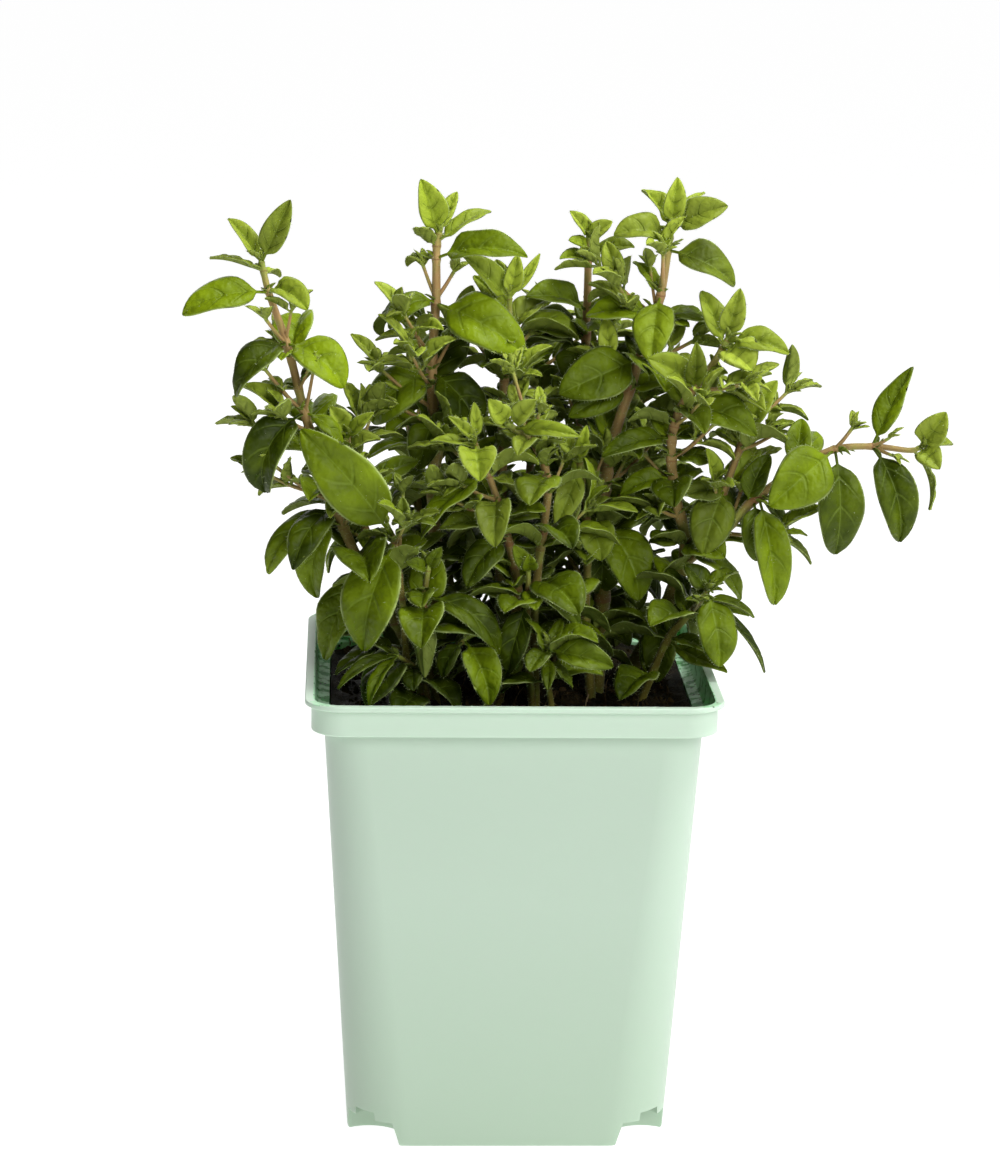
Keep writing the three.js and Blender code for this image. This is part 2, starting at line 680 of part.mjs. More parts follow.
    leaves: [
      [0.95, 240, -20, 11, 8, 35, 10], [0.95, 345, -10, 19, 9, 45, 40],
      [0.7, 270, -35, 11, 4.5, 30, 10], [0.7, 315, -40, 11, 6, 40, 10], [0.95, 45, 55, 10, 5, 20, 30],
    ],
  },
  { name: 'stem_back_centre', radii: [1.7, 0.8], pairs: [0.25, 0.6, 3, 70, 20, 18],
    path: [[16, 20, 118], [19, 20, 150.8], [20, 18, 185.8], [21, 16, 215.8], [21, 14, 236.8],
           [21, 14, 242.8]],
    leaves: [
      [0.97, 200, 55, 10, 6, 15, 40], [0.97, 330, 65, 9, 7, 20, 50], [0.8, 220, 40, 10, 8, 60, 30],
      [0.8, 340, 20, 14, 9, 30, 30], [0.78, 220, 15, 11, 6, 30, 40], [0.78, 30, 55, 11, 5, 20, 0],
      [0.65, 195, 15, 21, 12, 50, 45], [0.65, 20, -20, 12, 9, 50, 20], [0.59, 195, 15, 19, 13, 40, 35],
      [0.58, 230, -40, 14, 12, 60, 30], [0.47, 160, -15, 14, 12, 50, 20],
      [0.47, 25, -35, 18, 12, 50, 20],
    ],
  },
  { name: 'stem_centre_right', radii: [1.4, 0.8], pairs: [0.2, 0.5, 2, 40, 20, 18],
    path: [[23, -4, 118], [21, -6, 138.8], [21, -8, 156.8], [20, -10, 173.8], [18, -12, 184.8]],
    leaves: [
      [0.98, 230, -55, 19, 9, 30, 40], [1, 305, 75, 11, 5, 30, 50], [1, 155, 50, 10, 7, 20, 30],
      [0.66, 295, -45, 14, 12, 60, 20], [0.58, 205, 20, 11, 8, 60, 30],
      [0.56, 160, -45, 18, 10, 60, 10],
    ],
  },
  { name: 'stem_tall_right', radii: [2.1, 0.9], pairs: [0.14, 0.4, 3, 30, 20, 18],
    path: [[25, 2, 118], [26, 0, 143.8], [25, -2, 160.8], [26, -2, 177.8], [28, -2, 189.8],
           [34, -2, 209.8], [39, -3, 225.8], [41, -4, 238.8], [42, -4, 247.8]],
    leaves: [
      [1, 300, 80, 14, 8, 10, 60], [1, 140, 45, 14, 8, 10, 30], [1, 35, 40, 15, 5, 10, 20],
      [1, 340, 25, 17, 11, 20, 55], [0.96, 195, 5, 17, 12, 55, 40], [0.91, 350, -25, 22, 13, 60, 40],
      [0.78, 255, -55, 21, 13, 40, 10], [0.78, 140, 45, 13, 7, 20, 20], [0.73, 190, 0, 20, 11, 60, 40],
      [0.72, 10, -15, 23, 11, 90, 20], [0.64, 200, -20, 26, 16, 35, 55],
      [0.64, 275, 20, 15, 12, 20, 20], [0.59, 205, -20, 21, 9, 35, 55], [0.58, 20, 10, 13, 10, 50, 30],
      [0.38, 155, 5, 14, 10, 50, 20], [0.29, 320, -55, 26, 15, 50, 30],
      [0.28, 260, -65, 31, 17, 70, 20],
    ],
    shoots: [
      [0.8, 265, 50, 12, 12], [0.74, 130, 75, 11, 8], [0.73, 160, 35, 20, 12], [0.29, 260, 45, 12, 7],
      [0.34, 20, 55, 10, 9],
    ],
  },
  { name: 'stem_right', radii: [2.4, 0.9], pairs: [0.15, 0.35, 2, 100, 18, 16],
    path: [[33, 8, 118], [42, 4, 136.8], [47, -2, 151.8], [48, -6, 161.8], [44, -10, 177.8],
           [43, -12, 191.8], [46, -13, 201.8], [53, -14, 211.8], [57, -14, 218.8]],
    leaves: [
      [1, 315, 75, 15, 8.5, 15, 50], [0.99, 345, -5, 18, 10, 35, 45], [0.97, 135, 60, 17, 9, 40, 30],
      [0.95, 305, -20, 12, 16, 40, 40], [0.79, 270, 60, 16, 7, 15, 60],
      [0.79, 210, 35, 18, 11, 40, 50], [0.82, 330, 20, 9, 7, 40, 40], [0.73, 340, -15, 24, 12, 60, 50],
      [0.71, 305, -10, 16, 10, 60, 30], [0.62, 200, -10, 22, 9, 55, 45],
      [0.62, 30, -5, 13, 10, 60, 20], [0.61, 140, 55, 11, 8, 30, 30], [0.52, 190, -15, 16, 8, 50, 40],
      [0.51, 35, 15, 11, 9, 60, 30], [0.43, 150, 5, 12, 8, 60, 30], [0.36, 150, 0, 12, 9, 60, 20],
      [0.36, 310, 0, 16, 13, 60, 45], [0.26, 30, -45, 12, 10, 60, 20], [0.2, 330, -70, 18, 9, 60, 10],
      [0.14, 260, -45, 21, 11, 50, 15],
    ],
    shoots: [
      [0.62, 40, 20, 13, 9],
    ],
  },
  { name: 'stem_right_upper', branchOf: 'stem_right', radii: [1.5, 0.7],
    path: [[48, -5, 159.8], [54, -8, 166.8], [58, -9, 176.8], [62, -9, 188.8], [65, -8, 197.8],
           [67, -8, 201.8]],
    leaves: [
      [0.61, 145, 40, 10, 8, 40, 30], [0.64, 130, 75, 18, 8, 20, 30], [0.69, 330, 60, 17, 9, 30, 50],
      [0.4, 210, 0, 13, 9, 40, 40], [0.39, 20, 45, 16, 9, 40, 30], [0.4, 235, -55, 21, 14, 60, 30],
    ],
    shoots: [
      [0.57, 15, 35, 10, 10], [0.71, 15, 35, 14, 13], [0.69, 220, 70, 8, 9],
    ],
  },
  { name: 'stem_right_spray', branchOf: 'stem_right', radii: [1.6, 0.7], pairs: [0.15, 0.45, 2, 100, 16, 17],
    path: [[47, -3, 153.8], [59, -14, 167.8], [65, -15, 174.8], [76, -17, 183.8], [86, -18, 189.8],
           [97, -18, 190.8], [107, -18, 189.8], [110, -18, 190.8]],
    leaves: [
      [0.96, 330, 55, 13, 10, 15, 60], [0.96, 10, 5, 10, 8, 15, 40], [0.96, 325, -30, 10, 9, 20, 55],
      [0.88, 20, -70, 19, 5, 60, 0], [0.71, 15, 65, 24, 9, -25, 20], [0.71, 330, -70, 30, 12, 80, 40],
      [0.58, 205, -35, 25, 17, 30, 70], [0.58, 310, -75, 32, 14, 75, 40],
      [0.43, 70, 65, 15, 8, 30, 30], [0.43, 30, -40, 10, 8, 60, 30], [0.42, 335, -60, 10, 5, 40, 30],
      [0.31, 310, -75, 34, 11, 85, 25], [0.31, 25, -60, 20, 8, 60, 20],
      [0.29, 280, -60, 18, 10, 60, 30], [0.26, 25, 65, 16, 8, 40, 30],
    ],
    shoots: [
      [0.58, 335, 50, 7, 6], [0.71, 325, 25, 5, 5], [0.72, 315, -20, 6, 5],
    ],
  },
  { name: 'stem_right_low', radii: [1.3, 0.7],
    path: [[37, -8, 118], [43, -14, 135.8], [49, -18, 144.8], [53, -20, 150.8]],
    leaves: [
      [1, 295, -65, 22, 13, 45, 15], [1, 20, 30, 11, 7, 40, 20], [0.98, 160, 50, 10, 10, 40, 20],
      [0.86, 345, -15, 16, 5, 50, 20], [0.97, 15, -25, 15, 4, -60, 20],
      [0.33, 335, -20, 19, 9, -30, 25], [0.33, 35, 50, 14, 8, 40, 20], [0.91, 350, -60, 28, 5, 40, 20],
    ],
    shoots: [
      [0.7, 275, 25, 7, 6],
    ],
  },
  { name: 'stem_back_left', radii: [1.5, 0.7], tip: 9, pairs: [0.25, 0.9, 5, 20, 21, 14], sideEvery: 3,
    path: [[-18, 12, 118], [-23, 20, 150], [-27, 25, 185], [-28, 27, 212]],
  },
  { name: 'stem_back_mid', radii: [1.5, 0.7], tip: 9, pairs: [0.22, 0.9, 5, 60, 21, 14], sideEvery: 3,
    path: [[4, 22, 118], [6, 30, 155], [8, 36, 190], [10, 38, 222]],
  },
  { name: 'stem_back_right', radii: [1.5, 0.7], tip: 9, pairs: [0.25, 0.9, 5, 100, 21, 14], sideEvery: 3,
    path: [[24, 18, 118], [30, 28, 150], [36, 35, 182], [40, 37, 208]],
  },
  { name: 'stem_rear_left', radii: [1.4, 0.7], tip: 9, pairs: [0.3, 0.88, 4, 10, 20, 14],
    path: [[-8, 27, 118], [-15, 38.8, 140], [-20, 45, 165], [-22, 47.4, 188]],
  },
  { name: 'stem_rear_right', radii: [1.4, 0.7], tip: 9, pairs: [0.3, 0.88, 4, 50, 20, 14],
    path: [[14, 29, 118], [22, 41.9, 138], [27, 50.5, 160], [29, 54.4, 182]],
  },
  { name: 'stem_rear_mid', radii: [1.4, 0.7], tip: 9, pairs: [0.3, 0.88, 4, 80, 19, 14],
    path: [[3, 31, 118], [3, 41.9, 136], [1, 52.8, 150], [-2, 60.6, 168]],
  },
];

for (const [index, stem] of STEMS.entries()) {
  stem.plant = stem.branchOf ?? stem.name;
  stem.curve = stemCurve(stem.path.map((point) => new THREE.Vector3(...point)));
  stem.draw = seededDraw(101 + 37 * index);
  const foot = stem.branchOf ? 0 : STEM_FOOT;
  const shape = tube(stem.curve, stem.radii, STEM_SIDES, foot);
  grown.push({ plant: stem.plant, shape, lamina: null });
}

for (const { plant, curve, draw, leaves = [] } of STEMS) {
  for (const [place, azimuth, rise, length, width, arch, face] of leaves) {
    const root = curve.getPoint(place);
    const up = new THREE.Vector3(0, -Math.sin(radians(face)), Math.cos(radians(face)));
    const fold = draw(...LISTED_FOLDS);
    addLeaf(plant, { root, azimuth, rise, length, width, arch, up, fold });
  }
}

for (const { plant, curve, draw, shoots = [] } of STEMS) {
  for (const [place, azimuth, rise, length, size] of shoots) {
    addShoot(plant, curve.getPoint(place), azimuth, rise, length, size, draw);
  }
}

for (const entry of STEMS) {
  if (entry.pairs) addPairs(entry);
  if (entry.tip) addTip(entry.plant, entry.curve, entry.tip, entry.draw);
}

// ---- The object ----

const standing = STEMS.filter(({ branchOf }) => !branchOf);
const oregano = new THREE.Group();
oregano.add(namedMesh('pot', makePot(), 0xc6dccb, 0.45));
oregano.add(namedMesh('compost', makeSoil(standing), 0x1a110a, 0.95));
for (const { name } of standing) {
  const pieces = grown.filter(({ plant }) => plant === name).map(({ shape }) => manifold(shape));
  oregano.add(namedMesh(name, pieces.reduce((whole, piece) => whole.add(piece)), 0x4e7a1e, 0.6));
}

export default oregano;
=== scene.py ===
# A pot-grown oregano plant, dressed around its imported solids. Metres, +Z up, the origin at the
# middle of the pot's underside, the pot's front face towards -Y.

import math

import bpy
import numpy as np
from mathutils import Matrix, Vector, noise


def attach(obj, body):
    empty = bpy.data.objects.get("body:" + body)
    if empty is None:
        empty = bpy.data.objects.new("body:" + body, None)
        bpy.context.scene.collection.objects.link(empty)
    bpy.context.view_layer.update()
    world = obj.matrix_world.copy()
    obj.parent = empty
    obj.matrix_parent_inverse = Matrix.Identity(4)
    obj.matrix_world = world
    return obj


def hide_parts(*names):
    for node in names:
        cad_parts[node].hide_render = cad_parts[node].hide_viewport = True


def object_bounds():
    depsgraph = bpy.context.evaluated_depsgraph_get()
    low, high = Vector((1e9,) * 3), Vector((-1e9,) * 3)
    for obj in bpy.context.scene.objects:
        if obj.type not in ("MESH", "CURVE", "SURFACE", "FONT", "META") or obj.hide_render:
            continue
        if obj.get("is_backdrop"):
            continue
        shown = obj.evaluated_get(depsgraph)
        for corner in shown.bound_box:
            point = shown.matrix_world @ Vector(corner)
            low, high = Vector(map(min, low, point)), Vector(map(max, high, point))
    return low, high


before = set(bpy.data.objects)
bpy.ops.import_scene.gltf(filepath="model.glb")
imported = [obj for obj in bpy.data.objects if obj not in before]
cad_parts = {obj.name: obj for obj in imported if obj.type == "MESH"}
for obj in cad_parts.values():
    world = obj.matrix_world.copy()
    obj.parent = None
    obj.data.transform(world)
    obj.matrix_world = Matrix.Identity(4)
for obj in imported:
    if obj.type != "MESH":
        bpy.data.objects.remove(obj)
cad_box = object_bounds()

MM = 0.001


# ==== Pot ====
# A square tapering pot with a stepped rim, injection moulded in one piece from mint green
# polypropylene. Four raised round pockets under its corners leave it standing on the flat cross
# between them, and each pocket has a drain hole.
POT_HEIGHT = 127.2
FOOT_HALF = 43.8
FOOT_CORNER = 17.5
SHOULDER_HALF = 50.7
SHOULDER_CORNER = 11.0
BAND_HALF = 54.1
BAND_CORNER = 9.0
BAND_HEIGHT = 8.9
BAND_STEP = 0.6
LIP_HALF = 55.8
LIP_CORNER = 10.0
LIP_THICKNESS = 1.2
LIP_FLARE = 0.8
LIP_WIDTH = 2.6
WALL = 1.3
FLOOR = 1.5
FOOT_ROUND = 0.8
EDGE_ROUND = 0.45
EDGE_MIDWAY = 0.3
LEDGE_SLOPE = 0.1
FLOOR_BEVEL = 1.0
POCKET_INSET = 6.0
POCKET_TOP = 6.7
POCKET_RADII = (10.3, 8.5)
DRAIN_RADIUS = 4.0
SHOULDER_Z = POT_HEIGHT - BAND_HEIGHT
CORNER_STEPS = 12
EDGE_STEPS = 4
ROUND_STEPS = 48
BODY_RINGS = 8
FLARE_STEPS = 5
OVERRUN = 1.0
POT_SHARP_ANGLE = 40


def square_ring(half, corner, z, side_steps=1):
    """A square outline with rounded corners, anticlockwise seen from above."""
    points = []
    flat = 2 * (half - corner)
    for sx, sy, start in ((1, -1, -90), (1, 1, 0), (-1, 1, 90), (-1, -1, 180)):
        for step in range(CORNER_STEPS + 1):
            angle = math.radians(start + 90 * step / CORNER_STEPS)
            x = sx * (half - corner) + corner * math.cos(angle)
            y = sy * (half - corner) + corner * math.sin(angle)
            points.append((x, y, z))
        onward = math.radians(start + 180)
        for step in range(1, side_steps):
            reach = flat * step / side_steps
            points.append((x + reach * math.cos(onward), y + reach * math.sin(onward), z))
    return points


def round_ring(x, y, radius, z):
    angles = [2 * math.pi * i / ROUND_STEPS for i in range(ROUND_STEPS)]
    return [(x + radius * math.cos(a), y + radius * math.sin(a), z) for a in angles]


def loft(rings, start=0):
    """Points and outward faces of a closed body through rings stacked from its first cap on."""
    count = len(rings[0])
    faces = [tuple(start + i for i in reversed(range(count)))]
    for level in range(len(rings) - 1):
        low = start + level * count
        for i in range(count):
            j = (i + 1) % count
            faces.append((low + i, low + j, low + count + j, low + count + i))
    top = start + (len(rings) - 1) * count
    faces.append(tuple(top + i for i in range(count)))
    return [point for ring in rings for point in ring], faces


def mesh_object(name, points, faces):
    """A new object with its place in its mesh, from points in millimetres."""
    mesh = bpy.data.meshes.new(name)
    mesh.from_pydata((np.array(points, float) * MM).tolist(), [], faces)
    piece = bpy.data.objects.new(name, mesh)
    bpy.context.scene.collection.objects.link(piece)
    return piece


def apply_modifiers(piece):
    depsgraph = bpy.context.evaluated_depsgraph_get()
    mesh = bpy.data.meshes.new_from_object(piece.evaluated_get(depsgraph))
    piece.modifiers.clear()
    piece.data = mesh


def combine(piece, other, operation):
    """Adds, takes away or intersects another closed body, which is then gone."""
    modifier = piece.modifiers.new(operation, "BOOLEAN")
    modifier.operation = operation
    modifier.solver = "EXACT"
    modifier.object = other
    apply_modifiers(piece)
    bpy.data.objects.remove(other)


def body_size(z):
    """Half width and corner radius of the tapering body at a height."""
    share = z / SHOULDER_Z
    return (FOOT_HALF + (SHOULDER_HALF - FOOT_HALF) * share,
            FOOT_CORNER + (SHOULDER_CORNER - FOOT_CORNER) * share)


def body_ring(z, inset, ring_z=None, side_steps=1):
    """The body's outline at a height, drawn in by an inset, at that height or another."""
    half, corner = body_size(z)
    return square_ring(half - inset, corner - inset, z if ring_z is None else ring_z, side_steps)


def body_rings(low, high, inset, rise):
    """Rings between two heights of the body, lifted from 0 at the lowest to rise at the highest."""
    shares = [step / BODY_RINGS for step in range(BODY_RINGS + 1)]
    heights = [low + (high - low) * share for share in shares]
    return [body_ring(z, inset, z + rise * share) for z, share in zip(heights, shares)]


def rounded_edge(half, corner, z, turn_from, turn_to, radius):
    """Rings round a fillet whose middle lies radius inside the given half width."""
    rings = []
    for step in range(EDGE_STEPS + 1):
        angle = math.radians(turn_from + (turn_to - turn_from) * step / EDGE_STEPS)
        out = radius * math.cos(angle) - radius
        rings.append(square_ring(half + out, corner + out, z + radius * math.sin(angle)))
    return rings


def lip_flare():
    """Rings of the soft outward sweep from the band to the lip."""
    rings = []
    for step in range(FLARE_STEPS):
        share = step / FLARE_STEPS
        swept = share * share * (3 - 2 * share)
        rings.append(square_ring(BAND_HALF + (LIP_HALF - BAND_HALF) * swept,
                                 BAND_CORNER + (LIP_CORNER - BAND_CORNER) * swept,
                                 POT_HEIGHT - LIP_THICKNESS - LIP_FLARE * (1 - share)))
    return rings


def pot_outside():
    """Rings up the outside of the pot, from its underside to the top of its lip."""
    r = EDGE_ROUND
    return [
        *rounded_edge(*body_size(FOOT_ROUND), FOOT_ROUND, -90, -15, FOOT_ROUND),
        *body_rings(FOOT_ROUND, SHOULDER_Z, 0, 0),
        *rounded_edge(BAND_HALF, BAND_CORNER, SHOULDER_Z + BAND_STEP / 2 + r, -80, 0, r),
        *lip_flare(),
        square_ring(LIP_HALF, LIP_CORNER, POT_HEIGHT - LIP_THICKNESS),
        *rounded_edge(LIP_HALF, LIP_CORNER, POT_HEIGHT - r, 0, 90, r),
    ]


def pot_inside():
    """Rings down the inside of the pot, from the lip over the ledge to the floor."""
    mouth = LIP_HALF - LIP_WIDTH
    band = BAND_HALF - WALL
    corner = BAND_CORNER - WALL
    shelf = SHOULDER_Z + WALL
    r = EDGE_ROUND
    midway = EDGE_MIDWAY * r
    walls = body_rings(FLOOR, SHOULDER_Z, WALL, WALL)[:0:-1]
    return [
        square_ring(mouth + r, corner + r, POT_HEIGHT),
        square_ring(mouth + midway, corner + midway, POT_HEIGHT - midway),
        square_ring(mouth, corner, POT_HEIGHT - r),
        square_ring(mouth, corner, POT_HEIGHT - LIP_THICKNESS),
        square_ring(band, corner, shelf + BAND_STEP + r),
        square_ring(band - r, corner - r, shelf + BAND_STEP - LEDGE_SLOPE),
        body_ring(SHOULDER_Z, WALL - r, shelf + LEDGE_SLOPE),
        *walls,
        body_ring(FLOOR, WALL, FLOOR + FLOOR_BEVEL),
        body_ring(FLOOR, WALL + FLOOR_BEVEL, FLOOR),
    ]


def pocket_bodies(name, thicken, low, high, radii):
    """The same round tapering body under each corner, as one object."""
    points = []
    faces = []
    middle = FOOT_HALF - POCKET_INSET
    for sx, sy in ((1, 1), (-1, 1), (-1, -1), (1, -1)):
        rings = [round_ring(sx * middle, sy * middle, radii[0] + thicken, low),
                 round_ring(sx * middle, sy * middle, radii[1] + thicken, high)]
        more_points, more_faces = loft(rings, len(points))
        points += more_points
        faces += more_faces
    return mesh_object(name, points, faces)


pot = mesh_object("herb_pot", *loft(pot_outside() + pot_inside()))
pocket_walls = pocket_bodies("pocket_walls", WALL, -OVERRUN, POCKET_TOP + WALL, POCKET_RADII)
combine(pocket_walls, mesh_object("pot_block", *loft(pot_outside())), "INTERSECT")
combine(pot, pocket_walls, "UNION")
combine(pot, pocket_bodies("pockets", 0, -OVERRUN, POCKET_TOP, POCKET_RADII), "DIFFERENCE")
drain_low, drain_high = POCKET_TOP - OVERRUN, POCKET_TOP + WALL + OVERRUN
drains = pocket_bodies("drains", 0, drain_low, drain_high, (DRAIN_RADIUS,) * 2)
combine(pot, drains, "DIFFERENCE")


def smooth(piece, sharp_angle, weighted=True):
    """Smooth shading that stays flat across flat faces and sharp on hard edges."""
    piece.data.shade_smooth()
    piece.data.set_sharp_from_angle(angle=math.radians(sharp_angle))
    if weighted:
        modifier = piece.modifiers.new("flat faces", "WEIGHTED_NORMAL")
        modifier.keep_sharp = True
        apply_modifiers(piece)


smooth(pot, POT_SHARP_ANGLE)


def linear(colour):
    """An sRGB hex colour as linear RGBA."""
    shares = [int(colour[i:i + 2], 16) / 255 for i in (1, 3, 5)]
    return [c / 12.92 if c <= 0.04045 else ((c + 0.055) / 1.055) ** 2.4 for c in shares] + [1]


def add(tree, kind, inputs=None, **settings):
    """Adds a node with its settings. An input is a value, an output to link from, or a list of them."""
    node = tree.nodes.new(kind)
    for key, value in settings.items():
        setattr(node, key, value)
    for key, value in (inputs or {}).items():
        sources = value if isinstance(value, list) else [value]
        if isinstance(sources[0], bpy.types.NodeSocket):
            for source in sources:
                tree.links.new(source, node.inputs[key])
        else:
            node.inputs[key].default_value = value
    return node


def painted(tree, tint, *layers):
    """A colour with others laid over it in turn, each by its share."""
    for share, colour in layers:
        tint = add(tree, "ShaderNodeMix", {0: share, 6: tint, 7: linear(colour)},
                   data_type="RGBA").outputs[2]
    return tint


def new_material(name):
    """A material with only its output, and its node tree."""
    material = bpy.data.materials.new(name)
    material.use_nodes = True
    material.node_tree.nodes.clear()
    return material, material.node_tree


# Polypropylene, injection moulded in a polished mould: an even satin surface with a faint
# unevenness, a little light passing into it. The thin wall looks a shade deeper where the dark
# compost lies behind it. It is painted darker still towards the foot, as painted shade, and the
# doubled rim is paler, partly for its doubled plastic and partly as painted light from above.
PP_MINT = "#BDD2BF"
PP_MINT_FOOT_SHADED = "#B3CAB3"
PP_MINT_RIM_LIT = "#C8DECA"
FOOT_SHADE_TOP = 70.0
PP_IOR = 1.49
PP_ROUGHNESS = 0.36
PP_GLOSS = 0.4
LIGHT_DEPTHS = (1.0, 1.4, 1.1)
PP_TRANSLUCENCE = 0.15
MOULD_UNEVENNESS = 14.0
MOULD_RELIEF = 0.6


def pp_shader(tree, place, tint, roughness, gloss):
    """The moulded plastic itself, with whatever lies on it in its colour and roughness."""
    uneven = add(tree, "ShaderNodeTexNoise", {
        "Vector": place, "Scale": 1 / (MOULD_UNEVENNESS * MM), "Detail": 2.0,
    }).outputs[0]
    bump = add(tree, "ShaderNodeBump", {
        "Height": uneven, "Strength": 0.12, "Distance": MOULD_RELIEF * MM,
    })
    shader = add(tree, "ShaderNodeBsdfPrincipled", {
        "Base Color": tint, "Roughness": roughness, "Normal": bump.outputs[0],
        "IOR": PP_IOR, "Specular IOR Level": gloss, "Subsurface Weight": PP_TRANSLUCENCE,
        "Subsurface Radius": LIGHT_DEPTHS, "Subsurface Scale": 2 * MM,
    })
    add(tree, "ShaderNodeOutputMaterial", {0: shader.outputs[0]})


def dry_polypropylene():
    material, tree = new_material("polypropylene_mint")
    place = add(tree, "ShaderNodeTexCoord").outputs["Object"]
    z = add(tree, "ShaderNodeSeparateXYZ", {0: place}).outputs["Z"]
    # Painted shade towards the foot and painted light on the rim, both set by height.
    high = add(tree, "ShaderNodeMapRange", {0: z, 1: 0.0, 2: FOOT_SHADE_TOP * MM}).outputs[0]
    rim = add(tree, "ShaderNodeMapRange", {
        0: z, 1: SHOULDER_Z * MM, 2: (SHOULDER_Z + BAND_STEP) * MM,
    }).outputs[0]
    tint = painted(tree, linear(PP_MINT_FOOT_SHADED), (high, PP_MINT), (rim, PP_MINT_RIM_LIT))
    pp_shader(tree, place, tint, PP_ROUGHNESS, PP_GLOSS)
    return material


# The same plastic inside, above the compost: wet from watering, and painted paler and greener
# than outside as painted light against the shade of the leaves over it, with a few darker green
# patches near the compost and specks splashed on it.
PP_MINT_INSIDE_LIT = "#B6E1BC"
DARK_GREEN_PATCH = "#3F9842"
DARK_PATCH_SIZE = 4.0
BARE_LOW, BARE_HIGH = 0.53, 0.64
DARK_PATCH_EDGE = (-0.02, 0.06)
DARK_PATCH_SIDES = (44, 51)
MORE_AT_SIDES = 0.06
SPLASH = "#15120A"
SPLASH_SIZE = 1.3
SPLASH_EDGE = (0.34, 0.2)
SPLASHED = 0.2
DARK_PATCH_ROUGHNESS = 0.28
WET_GLOSS = 0.15


def wet_polypropylene():
    material, tree = new_material("polypropylene_mint_wet")
    place = add(tree, "ShaderNodeTexCoord").outputs["Object"]
    x, _, z = add(tree, "ShaderNodeSeparateXYZ", {0: place}).outputs
    blotch = add(tree, "ShaderNodeTexNoise", {
        "Vector": place, "Scale": 1 / (DARK_PATCH_SIZE * MM), "Detail": 4.0, "Roughness": 0.6,
    }).outputs[0]
    # The dark green patches are thickest near the compost and at the two sides, and break up towards
    # the lip.
    bare = add(tree, "ShaderNodeMapRange", {
        0: z, 1: SHOULDER_Z * MM, 2: (POT_HEIGHT - 1) * MM, 3: BARE_LOW, 4: BARE_HIGH,
    }).outputs[0]
    sideways = add(tree, "ShaderNodeMath", {0: x}, operation="ABSOLUTE").outputs[0]
    sideways = add(tree, "ShaderNodeMapRange", {
        0: sideways, 1: DARK_PATCH_SIDES[0] * MM, 2: DARK_PATCH_SIDES[1] * MM, 3: 0.0, 4: MORE_AT_SIDES,
    }).outputs[0]
    bare = add(tree, "ShaderNodeMath", {0: bare, 1: sideways}, operation="SUBTRACT").outputs[0]
    dark_patch_share = add(tree, "ShaderNodeMath", {0: blotch, 1: bare}, operation="SUBTRACT").outputs[0]
    dark_patch_share = add(tree, "ShaderNodeMapRange", {
        0: dark_patch_share, 1: DARK_PATCH_EDGE[0], 2: DARK_PATCH_EDGE[1],
    }).outputs[0]
    cells = add(tree, "ShaderNodeTexVoronoi", {"Vector": place, "Scale": 1 / (SPLASH_SIZE * MM)})
    speck = add(tree, "ShaderNodeMapRange", {
        0: cells.outputs["Distance"], 1: SPLASH_EDGE[0], 2: SPLASH_EDGE[1],
    }).outputs[0]
    chance = add(tree, "ShaderNodeSeparateColor", {0: cells.outputs["Color"]}).outputs[0]
    rare = add(tree, "ShaderNodeMath", {0: chance, 1: SPLASHED}, operation="LESS_THAN").outputs[0]
    speck = add(tree, "ShaderNodeMath", {0: speck, 1: rare}, operation="MULTIPLY").outputs[0]
    # Painted light: the inside mint is a paler copy of the plastic's colour.
    tint = painted(tree, linear(PP_MINT_INSIDE_LIT), (dark_patch_share, DARK_GREEN_PATCH), (speck, SPLASH))
    roughness = add(tree, "ShaderNodeMapRange", {
        0: dark_patch_share, 3: PP_ROUGHNESS, 4: DARK_PATCH_ROUGHNESS,
    }).outputs[0]
    pp_shader(tree, place, tint, roughness, WET_GLOSS)
    return material


LEDGE_FROM = SHOULDER_Z + 0.8
LEDGE_REACH = BAND_HALF - 0.5
INSIDE_FROM = POCKET_TOP + 4
FACING = 0.3


def faces_in(polygon):
    """Whether a face of the pot is on its inside, above the floor."""
    x, y, z = polygon.center / MM
    reach = max(abs(x), abs(y))
    ledge = z > LEDGE_FROM and reach < LEDGE_REACH and polygon.normal.z > FACING
    inward = Vector((x, y, 0)).dot(polygon.normal) < -FACING * math.hypot(x, y)
    return z > INSIDE_FROM and (ledge or inward)


pot.data.materials.append(dry_polypropylene())
pot.data.materials.append(wet_polypropylene())
for polygon in pot.data.polygons:
    polygon.material_index = int(faces_in(polygon))


def geometry_tree(name, sizes):
    """A tree for a modifier, with its geometry sockets and named inputs for its sizes."""
    tree = bpy.data.node_groups.new(name, "GeometryNodeTree")
    tree.interface.new_socket("Geometry", in_out="INPUT", socket_type="NodeSocketGeometry")
    tree.interface.new_socket("Geometry", in_out="OUTPUT", socket_type="NodeSocketGeometry")
    for size in sizes:
        tree.interface.new_socket(size, in_out="INPUT", socket_type="NodeSocketFloat")
    return tree, add(tree, "NodeGroupInput").outputs


def grow_on(piece, tree, values):
    """Runs a tree on a piece with the values of its named inputs, and keeps the plain mesh."""
    modifier = piece.modifiers.new(tree.name, "NODES")
    modifier.node_group = tree
    for socket in tree.interface.items_tree:
        if socket.name in values:
            modifier[socket.identifier] = values[socket.name]
    apply_modifiers(piece)


def where_all(tree, *pairs):
    """A selection of what has, in every pair, its first value above its second."""
    chosen = None
    for more, less in pairs:
        passed = add(tree, "FunctionNodeCompare", {0: more, 1: less},
                     operation="GREATER_THAN").outputs[0]
        if chosen is None:
            chosen = passed
        else:
            chosen = add(tree, "FunctionNodeBooleanMath", {0: chosen, 1: passed}).outputs[0]
    return chosen


